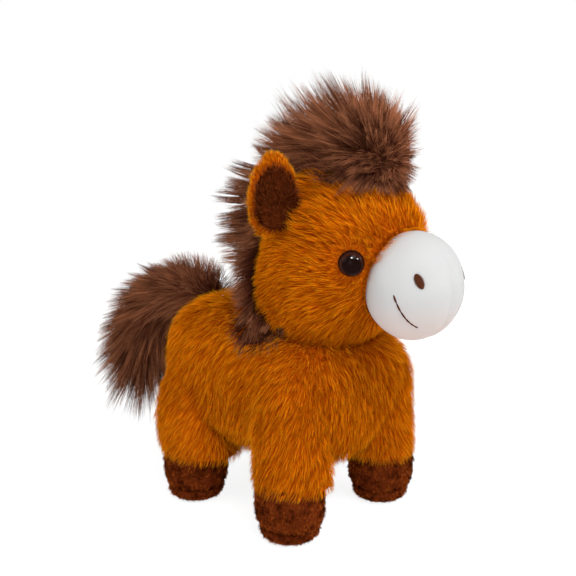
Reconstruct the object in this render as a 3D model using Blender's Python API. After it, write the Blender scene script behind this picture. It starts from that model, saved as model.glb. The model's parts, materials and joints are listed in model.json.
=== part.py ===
"""Plush horse, standing on four legs and about 25 cm tall, as a sewn and stuffed assembly.

Metres, +Z up. The horse faces -Y, and +X is its left side. The origin is on the ground, at the
middle of the whole toy's box. Every cover is a shell as thick as its backing cloth with its pile,
with openings where the pieces are sewn together, and the stuffing inside is a solid of its own.
"""

import math
from dataclasses import dataclass

import bmesh
import bpy
from mathutils import Vector

# Cloth, pile and clearances
SEAM_GAP = 0.0003
ROOT_CLEARANCE = 0.0006
PILE_WALL = 0.0075
NAP_WALL = 0.0026
MUZZLE_WALL = 0.0018
PLUSH_FACE_CUT = 0.0005

# Torso
BELLY_HEIGHT = 0.0410
TORSO_HEIGHT = 0.0820
TORSO_WIDTH = 0.1100
TORSO_LENGTH = 0.1360
TORSO_SETBACK = 0.0050
TORSO_WIDTH_SHARES = (0.94, 0.98, 0.98, 1.0, 1.0)
TORSO_HEIGHT_SHARES = (0.92, 0.98, 0.96, 1.0, 0.98)
TORSO_LIFT_SHARES = (0.0, 0.0, 0.0, 0.02, 0.04)
TORSO_FULLNESS_SHARE = 0.56
TORSO_SQUARE_SHARE = 0.80

# Legs and hooves
LEG_SIDE_INSET = 0.0165
LEG_END_INSET = 0.0280
LEG_RADIUS = 0.0245
LEG_CORE_RADIUS = 0.0160
LEG_HEM_HEIGHT = 0.0230
LEG_TOP_SHARE = 0.76
LEG_RADIUS_SHARES = (1.08, 1.0, 0.97, 0.98, 0.86)
LEG_LEAN_SHARES = (0.0, 0.0, 0.0, 0.10, 0.22)
LEG_FULLNESS_SHARE = 0.42
CORE_FULLNESS_SHARE = 0.36
HOOF_RADIUS = 0.0192
HOOF_HEIGHT = 0.0340
HOOF_POLE_SHARE = 1.35
HOOF_RADIUS_SHARES = (0.90, 1.0, 1.0, 0.96, 0.94)
HOOF_FULLNESS_SHARE = 0.36
SOLE_SEAM_HEIGHT = 0.0085

# Head, measured with its pile
HEAD_HEIGHT = 0.1200
HEAD_WIDTH = 0.0910
HEAD_LENGTH = 0.0940
NECK_SINK = 0.0380
NECK_SETBACK = 0.0430
HEAD_PATH_BACK_SHARES = (0.0, -0.06, -0.16, -0.25, -0.24, -0.20)
HEAD_WIDTH_SHARES = (0.82, 0.92, 0.98, 1.0, 1.02, 0.98)
HEAD_LENGTH_SHARES = (0.74, 0.86, 0.96, 1.0, 1.02, 0.98)
HEAD_FULLNESS_SHARE = 0.92
HEAD_SQUARE_SHARE = 0.88
CHEEK_RADIUS_SHARE = 0.4

# Muzzle
MUZZLE_WIDTH = 0.0510
MUZZLE_HEIGHT = 0.0560
MUZZLE_DEPTH = 0.0510
MUZZLE_STAND_OFF = 0.0056
MUZZLE_LEVEL_SHARE = 0.483
MUZZLE_FULLNESS_SHARE = 1.0
NOSTRIL_WIDTH = 0.0050
NOSTRIL_HEIGHT = 0.0078
NOSTRIL_THICKNESS = 0.0026
NOSTRIL_HEADING_DEG = 47.0
NOSTRIL_LIFT_DEG = 16.0
NOSTRIL_TILT_DEG = 25.0
STITCH_RADIUS = 0.0005
STITCH_HEADINGS_DEG = (75.0, 71.0, 65.0, 58.5, 52.5, 45.5)
STITCH_LIFTS_DEG = (-1.0, -11.5, -24.0, -32.0, -37.0, -40.5)

# Safety eyes
EYE_RADIUS = 0.0067
EYE_DOME_HEIGHT = 0.0052
EYE_SINK = 0.0034
EYE_LEVEL_SHARE = 0.592
EYE_HEADING_DEG = 45.0
PEG_RADIUS = 0.0020
PEG_TAIL = 0.0035
WASHER_RADIUS = 0.0062
WASHER_THICKNESS = 0.0012

# Ears
EAR_WIDTH = 0.0405
EAR_HEIGHT = 0.0255
EAR_THICKNESS = 0.0080
EAR_CUP = 0.0070
EAR_RIM = 0.0046
EAR_LEVEL_SHARE = 0.748
EAR_HEADING_DEG = 100.0
EAR_FACING_DEG = 40.0
EAR_SLOPE_DEG = 38.0
EAR_LEAN_SHARE = 0.78
EAR_WIDTH_SHARES = (0.78, 1.0, 1.05, 1.0, 0.90)
EAR_ROUNDNESS_SHARE = 0.7
EAR_PIVOT_SHARE = 0.06
LINING_THICKNESS = 0.0034
LINING_PROUD_SHARE = 0.62

# Forelock, mane and tail, each a bundle of long pile on its own strip
FORELOCK_LENGTH = 0.1060
FORELOCK_WIDTH = 0.0460
FORELOCK_HEIGHT = 0.0520
FORELOCK_SINK = 0.0120
FORELOCK_AHEAD = 0.0490
FORELOCK_RISE_SHARES = (-0.13, 0.02, -0.01, -0.15, -0.42)
FORELOCK_WIDTH_SHARES = (0.80, 1.0, 1.0, 0.95, 0.80)
FORELOCK_HEIGHT_SHARES = (0.80, 1.0, 1.0, 0.95, 0.80)
FORELOCK_FULLNESS_SHARE = 0.80
MANE_WIDTH = 0.0300
MANE_DEPTH = 0.0590
MANE_SWEEP = 0.0370
MANE_AHEAD = 0.0240
MANE_LEVEL_SHARES = (1.0, 0.78, 0.52, 0.28, 0.03, -0.17)
MANE_SIDE_SHARES = (0.0, 0.06, 0.12, 0.30, 0.64, 1.0)
MANE_AHEAD_SHARES = (-0.12, -0.10, 0.10, 0.50, 0.90, 1.35)
MANE_WIDTH_SHARES = (0.80, 1.0, 1.0, 0.95, 1.0, 0.90)
MANE_DEPTH_SHARES = (0.90, 1.0, 0.92, 0.70, 0.56, 0.46)
MANE_FULLNESS_SHARE = 0.75
MANE_TOP_SHARE = 0.94
MANE_STAND_OFF = 0.0140
TAIL_RADIUS = 0.0255
TAIL_REACH = 0.0960
TAIL_DROP = 0.0900
TAIL_LEVEL_SHARE = 0.84
TAIL_REACH_SHARES = (0.0, 0.24, 0.62, 0.90, 1.0)
TAIL_DROP_SHARES = (0.0, -0.05, 0.10, 0.50, 1.0)
TAIL_RADIUS_SHARES = (0.12, 0.56, 1.0, 1.08, 0.94)
TAIL_FULLNESS_SHARE = 0.62
TAIL_PIVOT_SHARE = 0.02

# Colours and finishes
ORANGE_PLUSH = (0.578, 0.141, 0.005)
BROWN_PILE = (0.127, 0.042, 0.023)
WHITE_VELBOA = (0.80, 0.79, 0.78)
HOOF_BROWN = (0.107, 0.026, 0.008)
LINING_BROWN = (0.085, 0.018, 0.007)
THREAD_BROWN = (0.070, 0.018, 0.008)
EYE_BLACK = (0.012, 0.005, 0.003)
STUFFING_WHITE = (0.85, 0.85, 0.83)
WASHER_CLEAR = (0.75, 0.75, 0.72)
CLOTH_ROUGHNESS = 0.9
PLASTIC_ROUGHNESS = 0.35
EYE_ROUGHNESS = 0.08

SIDES = {"left": 1, "right": -1}
ENDS = {"front": -1, "rear": 1}
SIDEWAYS = Vector((1, 0, 0))
BACKWARDS = Vector((0, 1, 0))
UPWARDS = Vector((0, 0, 1))
PROBE_SHARE = 0.002
WELD_SHARE = 0.1
SEARCH_STEPS = 40

# Facets of each skin, round it and along it
TORSO_FACETS = (28, 16)
TORSO_CORE_FACETS = (18, 10)
HEAD_FACETS = (28, 18)
HEAD_CORE_FACETS = (18, 12)
MUZZLE_FACETS = (24, 16)
MUZZLE_CORE_FACETS = (20, 12)
LEG_FACETS = (16, 10)
LEG_CORE_FACETS = (12, 8)
HOOF_FACETS = (16, 12)
FORELOCK_FACETS = (18, 12)
BUNDLE_FACETS = (16, 12)
EAR_FACETS = (16, 10)
LINING_FACETS = (14, 8)
NOSTRIL_FACETS = (12, 8)
TURNED_SIDES = 16
DOME_STEPS = 5
STRAIGHT_STEPS = 4
STITCH_PLACES = 9


def blend_through(values, share):
    """Smooth value at a share of the way along evenly spaced values."""
    spans = len(values) - 1
    place = min(max(share, 0), 1) * spans
    index = min(int(place), spans - 1)
    t = place - index
    start, end = values[index], values[index + 1]
    before = values[index - 1] if index else start * 2 - end
    after = values[index + 2] if index + 2 <= spans else end * 2 - start
    slope_in = (end - before) / 2
    slope_out = (after - start) / 2
    return (start * (2 * t**3 - 3 * t**2 + 1) + slope_in * (t**3 - 2 * t**2 + t)
            + end * (3 * t**2 - 2 * t**3) + slope_out * (t**3 - t**2))


@dataclass(frozen=True)
class Form:
    """A stuffed form that swells and tapers along a path, with a rounded end at each pole.

    Its sections stay square to the axis, or to the path where no axis is given, and they are
    ellipses where square is 1 and fuller at the corners below it.
    """

    path: tuple
    widths: tuple
    depths: tuple
    fullness: float
    side: Vector = SIDEWAYS
    axis: Vector | None = None
    square: float = 1.0

    def length(self):
        """Length of the path."""
        return sum((b - a).length for a, b in zip(self.path, self.path[1:]))

    def centre(self, share):
        """Point of the path, or straight on from its end when the share lies past it."""
        inside = blend_through(self.path, share)
        if 0 <= share <= 1:
            return inside
        end = 0 if share < 0 else 1
        return inside + self.tangent(end) * (share - end) * self.length()

    def tangent(self, share):
        """Direction that the sections are square to."""
        if self.axis:
            return self.axis
        low, high = max(share - PROBE_SHARE, 0), min(share + PROBE_SHARE, 1)
        return (blend_through(self.path, high) - blend_through(self.path, low)).normalized()

    def at(self, level, angle, grow=0.0):
        """Point of the surface: level runs from -1 to 1 along the path, angle goes round it."""
        share = (1 + level) / 2
        stretched = share + (2 * share - 1) * grow / self.length()
        along = self.tangent(share)
        deep = along.cross(self.side).normalized()
        wide = deep.cross(along).normalized()
        ring = max(1 - level * level, 0)**(self.fullness / 2)
        half_width = blend_through(self.widths, share) / 2 + grow
        half_depth = blend_through(self.depths, share) / 2 + grow
        aside = math.copysign(abs(math.cos(angle))**self.square, math.cos(angle))
        away = math.copysign(abs(math.sin(angle))**self.square, math.sin(angle))
        return (self.centre(stretched) + wide * aside * half_width * ring
                + deep * away * half_depth * ring)

    def place(self, unit, grow):
        """Point of the surface for a point of the unit sphere."""
        return self.at(max(min(unit.z, 1), -1), math.atan2(unit.y, unit.x), grow)

    def normal(self, level, angle):
        """Outward normal of the surface, from three near points of it."""
        here = self.at(level, angle)
        up = self.at(level + PROBE_SHARE, angle) - here
        round_it = self.at(level, angle + PROBE_SHARE) - here
        outward = round_it.cross(up).normalized()
        inside = here - self.centre((1 + level) / 2)
        return outward if outward.dot(inside) > 0 else -outward


@dataclass(frozen=True)
class Leaf:
    """A cupped leaf standing on its root, such as an ear or its lining."""

    root: Vector
    across: Vector
    up: Vector
    facing: Vector
    width: float
    height: float
    thickness: float
    cup: float
    full_width: float
    start: float
    proud: float

    def place(self, unit, grow):
        """Point of the leaf's surface for a point of the unit sphere."""
        share = (1 + unit.z) / 2
        ring = math.hypot(unit.x, unit.y)
        swell = blend_through(EAR_WIDTH_SHARES, share) * ring**EAR_ROUNDNESS_SHARE
        angle = math.atan2(unit.y, unit.x)
        aside = math.cos(angle) * swell * (self.width / 2 + grow)
        height = self.start + share * self.height + (2 * share - 1) * grow
        through = math.sin(angle) * swell * (self.thickness / 2 + grow)
        bend = self.cup * (2 * aside / self.full_width)**2
        return (self.root + self.across * (aside + EAR_LEAN_SHARE * height) + self.up * height
                + self.facing * (through + self.proud + bend))


def clear_scene():
    """Empties the scene before the toy is built."""
    for old in list(bpy.data.objects):
        bpy.data.objects.remove(old, do_unlink=True)


def finish(name, colour, roughness):
    """One plain finish for one kind of cloth, pile or plastic."""
    material = bpy.data.materials.get(name) or bpy.data.materials.new(name)
    material.use_nodes = True
    shader = material.node_tree.nodes["Principled BSDF"]
    shader.inputs["Base Color"].default_value = (*colour, 1)
    shader.inputs["Roughness"].default_value = roughness
    shader.inputs["Metallic"].default_value = 0
    return material


def face_outwards(mesh):
    """Turns every face of a closed mesh to the outside."""
    bmesh.ops.recalc_face_normals(mesh, faces=mesh.faces)
    if mesh.calc_volume(signed=True) < 0:
        bmesh.ops.reverse_faces(mesh, faces=mesh.faces)


def form_mesh(shape, facets, grow=0.0):
    """A closed skin over a shape, from a sphere whose points are moved onto it."""
    mesh = bmesh.new()
    around, along = facets
    bmesh.ops.create_uvsphere(mesh, u_segments=around, v_segments=along, radius=1)
    for vertex in mesh.verts:
        vertex.co = shape.place(vertex.co.copy(), grow)
    face_outwards(mesh)
    return mesh


def turned_mesh(profile, base, axis):
    """A solid turned about an axis from (radius, height) pairs, or a ring if none lies on it."""
    mesh = bmesh.new()
    across = axis.orthogonal().normalized()
    points = [mesh.verts.new(base + across * radius + axis * height) for radius, height in profile]
    edges = [mesh.edges.new(pair) for pair in zip(points, points[1:])]
    if profile[0][0] > 0:
        edges.append(mesh.edges.new((points[-1], points[0])))
    bmesh.ops.spin(mesh, geom=points + edges, cent=base, axis=axis, angle=math.tau,
                   steps=TURNED_SIDES, use_merge=True)
    bmesh.ops.remove_doubles(mesh, verts=mesh.verts, dist=SEAM_GAP * WELD_SHARE)
    face_outwards(mesh)
    return mesh


def keep_side(mesh, height, above):
    """Cuts a mesh at a level, keeps what lies above or below it, and closes the cut."""
    geometry = mesh.verts[:] + mesh.edges[:] + mesh.faces[:]
    cut = bmesh.ops.bisect_plane(mesh, geom=geometry, plane_co=UPWARDS * height, plane_no=UPWARDS,
                                 clear_inner=above, clear_outer=not above)
    rim = [item for item in cut["geom_cut"] if isinstance(item, bmesh.types.BMEdge)]
    bmesh.ops.contextual_create(mesh, geom=rim)
    face_outwards(mesh)


def solid(name, mesh, material, pivot=None):
    """Turns a mesh into a named piece of the toy, on a pivot if it moves."""
    data = bpy.data.meshes.new(name)
    if pivot:
        bmesh.ops.translate(mesh, verts=mesh.verts, vec=-pivot.location)
    mesh.to_mesh(data)
    mesh.free()
    data.shade_smooth()
    piece = bpy.data.objects.new(name, data)
    bpy.context.collection.objects.link(piece)
    if pivot:
        piece.parent = pivot
    if material:
        data.materials.append(material)
    return piece


def cutter(name, mesh):
    """A hidden solid that only shapes its neighbours."""
    tool = solid(name, mesh, None)
    tool.hide_render = True
    tool.display_type = "WIRE"
    return tool


def cut(piece, *tools):
    """Takes each tool's space out of a piece."""
    for tool in tools:
        boolean = piece.modifiers.new(tool.name, "BOOLEAN")
        boolean.operation = "DIFFERENCE"
        boolean.solver = "EXACT"
        boolean.object = tool


def pivot_at(name, place):
    """An empty on the axis that a moving piece turns about."""
    pivot = bpy.data.objects.new(name, None)
    pivot.location = place
    bpy.context.collection.objects.link(pivot)
    return pivot


def scaled(shares, size):
    """Shares of one size, as lengths."""
    return tuple(share * size for share in shares)


def torso_form():
    """Barrel of the body along Y, from the chest to the rump."""
    front = TORSO_SETBACK - TORSO_LENGTH / 2
    middle = BELLY_HEIGHT + TORSO_HEIGHT / 2
    steps = len(TORSO_LIFT_SHARES) - 1
    path = tuple(Vector((0, front + TORSO_LENGTH * i / steps, middle + TORSO_HEIGHT * lift))
                 for i, lift in enumerate(TORSO_LIFT_SHARES))
    return Form(path, scaled(TORSO_WIDTH_SHARES, TORSO_WIDTH),
                scaled(TORSO_HEIGHT_SHARES, TORSO_HEIGHT), TORSO_FULLNESS_SHARE, axis=BACKWARDS,
                square=TORSO_SQUARE_SHARE)


def head_form():
    """Head with its short neck, standing in the front of the torso."""
    base_y = TORSO_SETBACK - TORSO_LENGTH / 2 + NECK_SETBACK
    base_z = BELLY_HEIGHT + TORSO_HEIGHT - NECK_SINK
    steps = len(HEAD_PATH_BACK_SHARES) - 1
    path = tuple(Vector((0, base_y + HEAD_LENGTH * back, base_z + HEAD_HEIGHT * i / steps))
                 for i, back in enumerate(HEAD_PATH_BACK_SHARES))
    return Form(path, scaled(HEAD_WIDTH_SHARES, HEAD_WIDTH), scaled(HEAD_LENGTH_SHARES, HEAD_LENGTH),
                HEAD_FULLNESS_SHARE, axis=UPWARDS, square=HEAD_SQUARE_SHARE)


def muzzle_form(head):
    """Round muzzle, standing out of the front of the head."""
    level = 2 * MUZZLE_LEVEL_SHARE - 1
    middle = head.at(level, -math.pi / 2)
    middle.y -= MUZZLE_STAND_OFF
    steps = STRAIGHT_STEPS
    path = tuple(middle + Vector((0, MUZZLE_DEPTH * (1 / 2 - i / steps), 0))
                 for i in range(steps + 1))
    return Form(path, (MUZZLE_WIDTH,) * (steps + 1), (MUZZLE_HEIGHT,) * (steps + 1),
                MUZZLE_FULLNESS_SHARE)


def leg_forms(x, y):
    """Furry leg, its stuffing and its hoof, upright under one corner of the torso."""
    top = BELLY_HEIGHT + TORSO_HEIGHT * LEG_TOP_SHARE
    steps = len(LEG_RADIUS_SHARES) - 1
    leg_path = tuple(Vector((x * (1 - lean), y * (1 - lean), top * i / steps))
                     for i, lean in enumerate(LEG_LEAN_SHARES))
    core_low = NAP_WALL + SEAM_GAP
    core_top = top - PILE_WALL
    core_path = tuple(Vector((x * (1 - lean), y * (1 - lean),
                              core_low + (core_top - core_low) * i / steps))
                      for i, lean in enumerate(LEG_LEAN_SHARES))
    hoof_top = HOOF_HEIGHT * HOOF_POLE_SHARE
    hoof_path = tuple(Vector((x, y, -PLUSH_FACE_CUT + (hoof_top + PLUSH_FACE_CUT) * i / steps))
                      for i in range(steps + 1))
    leg_widths = scaled(LEG_RADIUS_SHARES, 2 * LEG_RADIUS)
    core_widths = (2 * LEG_CORE_RADIUS,) * (steps + 1)
    hoof_widths = scaled(HOOF_RADIUS_SHARES, 2 * HOOF_RADIUS)
    return (Form(leg_path, leg_widths, leg_widths, LEG_FULLNESS_SHARE, axis=UPWARDS),
            Form(core_path, core_widths, core_widths, CORE_FULLNESS_SHARE, axis=UPWARDS),
            Form(hoof_path, hoof_widths, hoof_widths, HOOF_FULLNESS_SHARE, axis=UPWARDS))


def facing_angle(heading_deg, side):
    """Angle round an upright form for a heading away from straight ahead, on one side."""
    return -math.pi / 2 + side * math.radians(heading_deg)


def build_torso(torso, torso_hollow, seam_cutters, plush, filling):
    """Body cover with its neck and leg openings, and the stuffing in it."""
    cover = solid("body_cover", form_mesh(torso, TORSO_FACETS), plush)
    cut(cover, torso_hollow, *seam_cutters)
    core = form_mesh(torso, TORSO_CORE_FACETS, -PILE_WALL - SEAM_GAP)
    solid("body_stuffing", core, filling)


def build_head(head, head_hollow, torso_seam, torso_hollow, muzzle_hollow, plush, filling):
    """Head cover, open at the neck and the muzzle, and the stuffing in it."""
    cover = solid("head_cover", form_mesh(head, HEAD_FACETS), plush)
    cut(cover, head_hollow, torso_seam, muzzle_hollow)
    core = form_mesh(head, HEAD_CORE_FACETS, -PILE_WALL - SEAM_GAP)
    stuffing = solid("head_stuffing", core, filling)
    cut(stuffing, torso_hollow)
    return cover, stuffing


def build_muzzle(muzzle, muzzle_hollow, head_seam, head_hollow, velboa, filling):
    """Short-nap muzzle dome and the stuffing that bulges through the head into it."""
    cover = solid("muzzle_cover", form_mesh(muzzle, MUZZLE_FACETS), velboa)
    cut(cover, muzzle_hollow, head_seam)
    core = form_mesh(muzzle, MUZZLE_CORE_FACETS, -MUZZLE_WALL - SEAM_GAP)
    cut(solid("muzzle_stuffing", core, filling), head_hollow)


def on_muzzle(muzzle, heading_deg, lift_deg, side, out):
    """Point off the muzzle's surface at a heading and a lift seen from its middle."""
    heading, lift = math.radians(heading_deg), math.radians(lift_deg)
    ray = Vector((side * math.sin(heading) * math.cos(lift), -math.cos(heading) * math.cos(lift),
                  math.sin(lift)))
    middle = muzzle.centre(0.5)
    size = Vector((MUZZLE_WIDTH / 2, MUZZLE_DEPTH / 2, MUZZLE_HEIGHT / 2))
    reach = 1 / math.sqrt(sum((part / half)**2 for part, half in zip(ray, size)))
    outward = Vector([part / half**2 for part, half in zip(ray, size)]).normalized()
    return middle + ray * reach + outward * out, outward


def build_nostrils(muzzle, muzzle_seam, thread):
    """Embroidered ovals on the upper half of the muzzle."""
    for name, side in SIDES.items():
        middle, outward = on_muzzle(muzzle, NOSTRIL_HEADING_DEG, NOSTRIL_LIFT_DEG, side, 0)
        level = UPWARDS.cross(outward).normalized()
        upright = outward.cross(level)
        tilt = side * math.radians(NOSTRIL_TILT_DEG)
        tall = upright * math.cos(tilt) + level * math.sin(tilt)
        steps = STRAIGHT_STEPS
        path = tuple(middle + tall * NOSTRIL_HEIGHT * (i / steps - 1 / 2) for i in range(steps + 1))
        oval = Form(path, (NOSTRIL_WIDTH,) * (steps + 1), (NOSTRIL_THICKNESS,) * (steps + 1), 1.0,
                    tall.cross(outward).normalized())
        cut(solid(f"nostril_{name}", form_mesh(oval, NOSTRIL_FACETS), thread), muzzle_seam)


def build_smile(muzzle, thread):
    """The two halves of the smile, each a raised line of stitching."""
    for name, side in SIDES.items():
        curve = bpy.data.curves.new(f"smile_stitch_{name}", "CURVE")
        curve.dimensions = "3D"
        curve.bevel_depth = STITCH_RADIUS
        curve.bevel_resolution = 1
        curve.use_fill_caps = True
        line = curve.splines.new("POLY")
        line.points.add(STITCH_PLACES - 1)
        for i, point in enumerate(line.points):
            share = i / (STITCH_PLACES - 1)
            spot, _ = on_muzzle(muzzle, blend_through(STITCH_HEADINGS_DEG, share),
                                blend_through(STITCH_LIFTS_DEG, share), side,
                                STITCH_RADIUS + ROOT_CLEARANCE)
            point.co = (*spot, 1)
        stitch = bpy.data.objects.new(curve.name, curve)
        curve.materials.append(thread)
        bpy.context.collection.objects.link(stitch)


def build_eyes(head, cover, stuffing, bead, clear):
    """Safety eyes on pegs through the cover, held by washers behind it."""
    level = 2 * EYE_LEVEL_SHARE - 1
    cheek_radius = (HEAD_WIDTH / 2 - PILE_WALL) * CHEEK_RADIUS_SHARE
    washer_face = PILE_WALL + WASHER_RADIUS**2 / cheek_radius
    washer_back = washer_face + WASHER_THICKNESS
    peg_end = washer_back + PEG_TAIL
    bore = PEG_RADIUS + SEAM_GAP
    rim = EYE_RADIUS + SEAM_GAP
    floor = EYE_SINK + SEAM_GAP
    nest_radius = WASHER_RADIUS + SEAM_GAP
    nest_end = peg_end + SEAM_GAP
    dome = [(EYE_RADIUS * math.cos(math.pi / 2 * i / DOME_STEPS),
             EYE_DOME_HEIGHT * math.sin(math.pi / 2 * i / DOME_STEPS) - EYE_SINK)
            for i in range(DOME_STEPS)]
    profile = ([(0, -peg_end), (PEG_RADIUS, -peg_end), (PEG_RADIUS, -EYE_SINK)] + dome
               + [(0, EYE_DOME_HEIGHT - EYE_SINK)])
    ring = [(bore, -washer_face), (WASHER_RADIUS, -washer_face), (WASHER_RADIUS, -washer_back),
            (bore, -washer_back)]
    well = [(0, -floor), (rim, -floor), (rim, EYE_DOME_HEIGHT), (0, EYE_DOME_HEIGHT)]
    hole = [(0, -peg_end), (bore, -peg_end), (bore, 0), (0, 0)]
    nest = [(0, -nest_end), (nest_radius, -nest_end), (nest_radius, 0), (0, 0)]
    for name, side in SIDES.items():
        angle = facing_angle(EYE_HEADING_DEG, side)
        outward = head.normal(level, angle)
        surface = head.at(level, angle)
        solid(f"eye_{name}", turned_mesh(profile, surface, outward), bead)
        solid(f"eye_washer_{name}", turned_mesh(ring, surface, outward), clear)
        cut(cover, cutter(f"eye_well_{name}", turned_mesh(well, surface, outward)),
            cutter(f"peg_hole_{name}", turned_mesh(hole, surface, outward)))
        cut(stuffing, cutter(f"washer_nest_{name}", turned_mesh(nest, surface, outward)))


def build_ears(head, plush, lining_cloth):
    """Cupped ears, each a furry back with a short-nap lining, hinged along its seam."""
    level = 2 * EAR_LEVEL_SHARE - 1
    for name, side in SIDES.items():
        angle = facing_angle(EAR_HEADING_DEG, side)
        outward = head.normal(level, angle)
        root = head.at(level, angle) + outward * ROOT_CLEARANCE
        heading = facing_angle(EAR_FACING_DEG, side)
        ahead = Vector((math.cos(heading), math.sin(heading), 0))
        inward = ahead.cross(UPWARDS) * side
        slope = math.radians(EAR_SLOPE_DEG)
        seam = inward * math.cos(slope) + UPWARDS * math.sin(slope)
        across = (seam - outward * seam.dot(outward)).normalized()
        facing = (ahead - across * ahead.dot(across)).normalized()
        up = across.cross(facing) * side
        back = Leaf(root, across, up, facing, EAR_WIDTH, EAR_HEIGHT, EAR_THICKNESS, EAR_CUP,
                    EAR_WIDTH, 0, 0)
        lining = Leaf(root, across, up, facing, EAR_WIDTH - 2 * EAR_RIM,
                      EAR_HEIGHT - 2 * EAR_RIM, LINING_THICKNESS, EAR_CUP, EAR_WIDTH, EAR_RIM,
                      EAR_THICKNESS / 2 * LINING_PROUD_SHARE)
        pivot = pivot_at(f"ear_pivot_{name}", root + up * EAR_HEIGHT * EAR_PIVOT_SHARE)
        shell = solid(f"ear_back_{name}", form_mesh(back, EAR_FACETS), plush, pivot)
        cut(shell, cutter(f"lining_recess_{name}", form_mesh(lining, LINING_FACETS, SEAM_GAP)))
        solid(f"ear_lining_{name}", form_mesh(lining, LINING_FACETS), lining_cloth, pivot)
        print("ear hinge", name, "axis", tuple(round(v, 4) for v in across))


def build_forelock(head, head_seam, pile):
    """Bundle of long pile over the crown and the forehead."""
    crown = head.at(1, 0)
    steps = len(FORELOCK_RISE_SHARES) - 1
    height = crown.z - FORELOCK_SINK + FORELOCK_HEIGHT / 2
    front = crown.y - FORELOCK_AHEAD
    path = tuple(Vector((0, front + FORELOCK_LENGTH * i / steps, height + FORELOCK_HEIGHT * rise))
                 for i, rise in enumerate(FORELOCK_RISE_SHARES))
    form = Form(path, scaled(FORELOCK_WIDTH_SHARES, FORELOCK_WIDTH),
                scaled(FORELOCK_HEIGHT_SHARES, FORELOCK_HEIGHT), FORELOCK_FULLNESS_SHARE)
    cut(solid("forelock", form_mesh(form, FORELOCK_FACETS), pile), head_seam)
    return form


def build_mane(head, seams, pile):
    """Bundle of long pile down the nape, swept over the right shoulder at the withers."""
    top = head.at(2 * MANE_TOP_SHARE - 1, math.pi / 2).z
    foot = BELLY_HEIGHT + TORSO_HEIGHT
    path = []
    for level, swept, ahead in zip(MANE_LEVEL_SHARES, MANE_SIDE_SHARES, MANE_AHEAD_SHARES):
        height = foot + (top - foot) * level
        share = (height - head.centre(0).z) / HEAD_HEIGHT
        nape = head.at(2 * share - 1, math.pi / 2)
        path.append(Vector((-MANE_SWEEP * swept, nape.y + MANE_STAND_OFF - MANE_AHEAD * ahead,
                            height)))
    form = Form(tuple(path), scaled(MANE_WIDTH_SHARES, MANE_WIDTH),
                scaled(MANE_DEPTH_SHARES, MANE_DEPTH), MANE_FULLNESS_SHARE)
    cut(solid("mane", form_mesh(form, BUNDLE_FACETS), pile), *seams)


def rump_level(torso, height):
    """Level of the torso's back line at a height on the rump, found by halving."""
    low, high = 0.0, 1.0
    for _ in range(SEARCH_STEPS):
        level = (low + high) / 2
        if torso.at(level, -math.pi / 2).z > height:
            low = level
        else:
            high = level
    return level


def build_tail(torso, pile):
    """Bushy tail, sewn to the top of the rump and hinged there."""
    angle = -math.pi / 2
    level = rump_level(torso, torso.centre(1).z + TORSO_HEIGHT * (TAIL_LEVEL_SHARE - 1 / 2))
    root = torso.at(level, angle) + torso.normal(level, angle) * ROOT_CLEARANCE
    path = tuple(root + Vector((0, TAIL_REACH * reach, -TAIL_DROP * drop))
                 for reach, drop in zip(TAIL_REACH_SHARES, TAIL_DROP_SHARES))
    form = Form(path, scaled(TAIL_RADIUS_SHARES, 2 * TAIL_RADIUS),
                scaled(TAIL_RADIUS_SHARES, 2 * TAIL_RADIUS), TAIL_FULLNESS_SHARE)
    pivot = pivot_at("tail_pivot", root + form.tangent(0) * form.length() * TAIL_PIVOT_SHARE)
    solid("tail", form_mesh(form, BUNDLE_FACETS), pile, pivot)


def build_leg(name, x, y, torso_seam, head_seam, torso_hollow, plush, nap, filling):
    """One leg: furry tube, hoof tube, sole and the stuffing inside all three."""
    leg, core, hoof = leg_forms(x, y)
    hollow = cutter(f"leg_hollow_{name}", form_mesh(core, LEG_CORE_FACETS, SEAM_GAP))

    leg_skin = form_mesh(leg, LEG_FACETS)
    keep_side(leg_skin, LEG_HEM_HEIGHT, above=True)
    cover = solid(f"leg_cover_{name}", leg_skin, plush)
    hoof_space = cutter(f"hoof_space_{name}", form_mesh(hoof, HOOF_FACETS, SEAM_GAP))
    cut(cover, hollow, hoof_space, torso_seam, head_seam)

    hoof_skin = form_mesh(hoof, HOOF_FACETS)
    keep_side(hoof_skin, SOLE_SEAM_HEIGHT + SEAM_GAP, above=True)
    keep_side(hoof_skin, HOOF_HEIGHT, above=False)
    cut(solid(f"hoof_cover_{name}", hoof_skin, nap), hollow)

    sole_skin = form_mesh(hoof, HOOF_FACETS)
    keep_side(sole_skin, 0, above=True)
    keep_side(sole_skin, SOLE_SEAM_HEIGHT, above=False)
    cut(solid(f"hoof_sole_{name}", sole_skin, nap), hollow)

    stuffing = solid(f"leg_stuffing_{name}", form_mesh(core, LEG_CORE_FACETS), filling)
    cut(stuffing, torso_hollow, head_seam)
    return hollow


def stand_in_the_middle():
    """Parents every piece to one empty that puts the middle of the toy's box at the origin."""
    loose = [item for item in bpy.data.objects if item.parent is None]
    bpy.context.view_layer.update()
    nose = min(v.co.y for v in bpy.data.objects["muzzle_cover"].data.vertices)
    tail = bpy.data.objects["tail"]
    tail_tip = max((tail.matrix_world @ v.co).y for v in tail.data.vertices)
    stand = pivot_at("stand", Vector((0, -(nose + tail_tip) / 2, 0)))
    for item in loose:
        item.parent = stand
    bpy.context.view_layer.update()
    for item in bpy.data.objects:
        if item.type == "EMPTY":
            print("pivot", item.name, tuple(round(v, 5) for v in item.matrix_world.translation))


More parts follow.
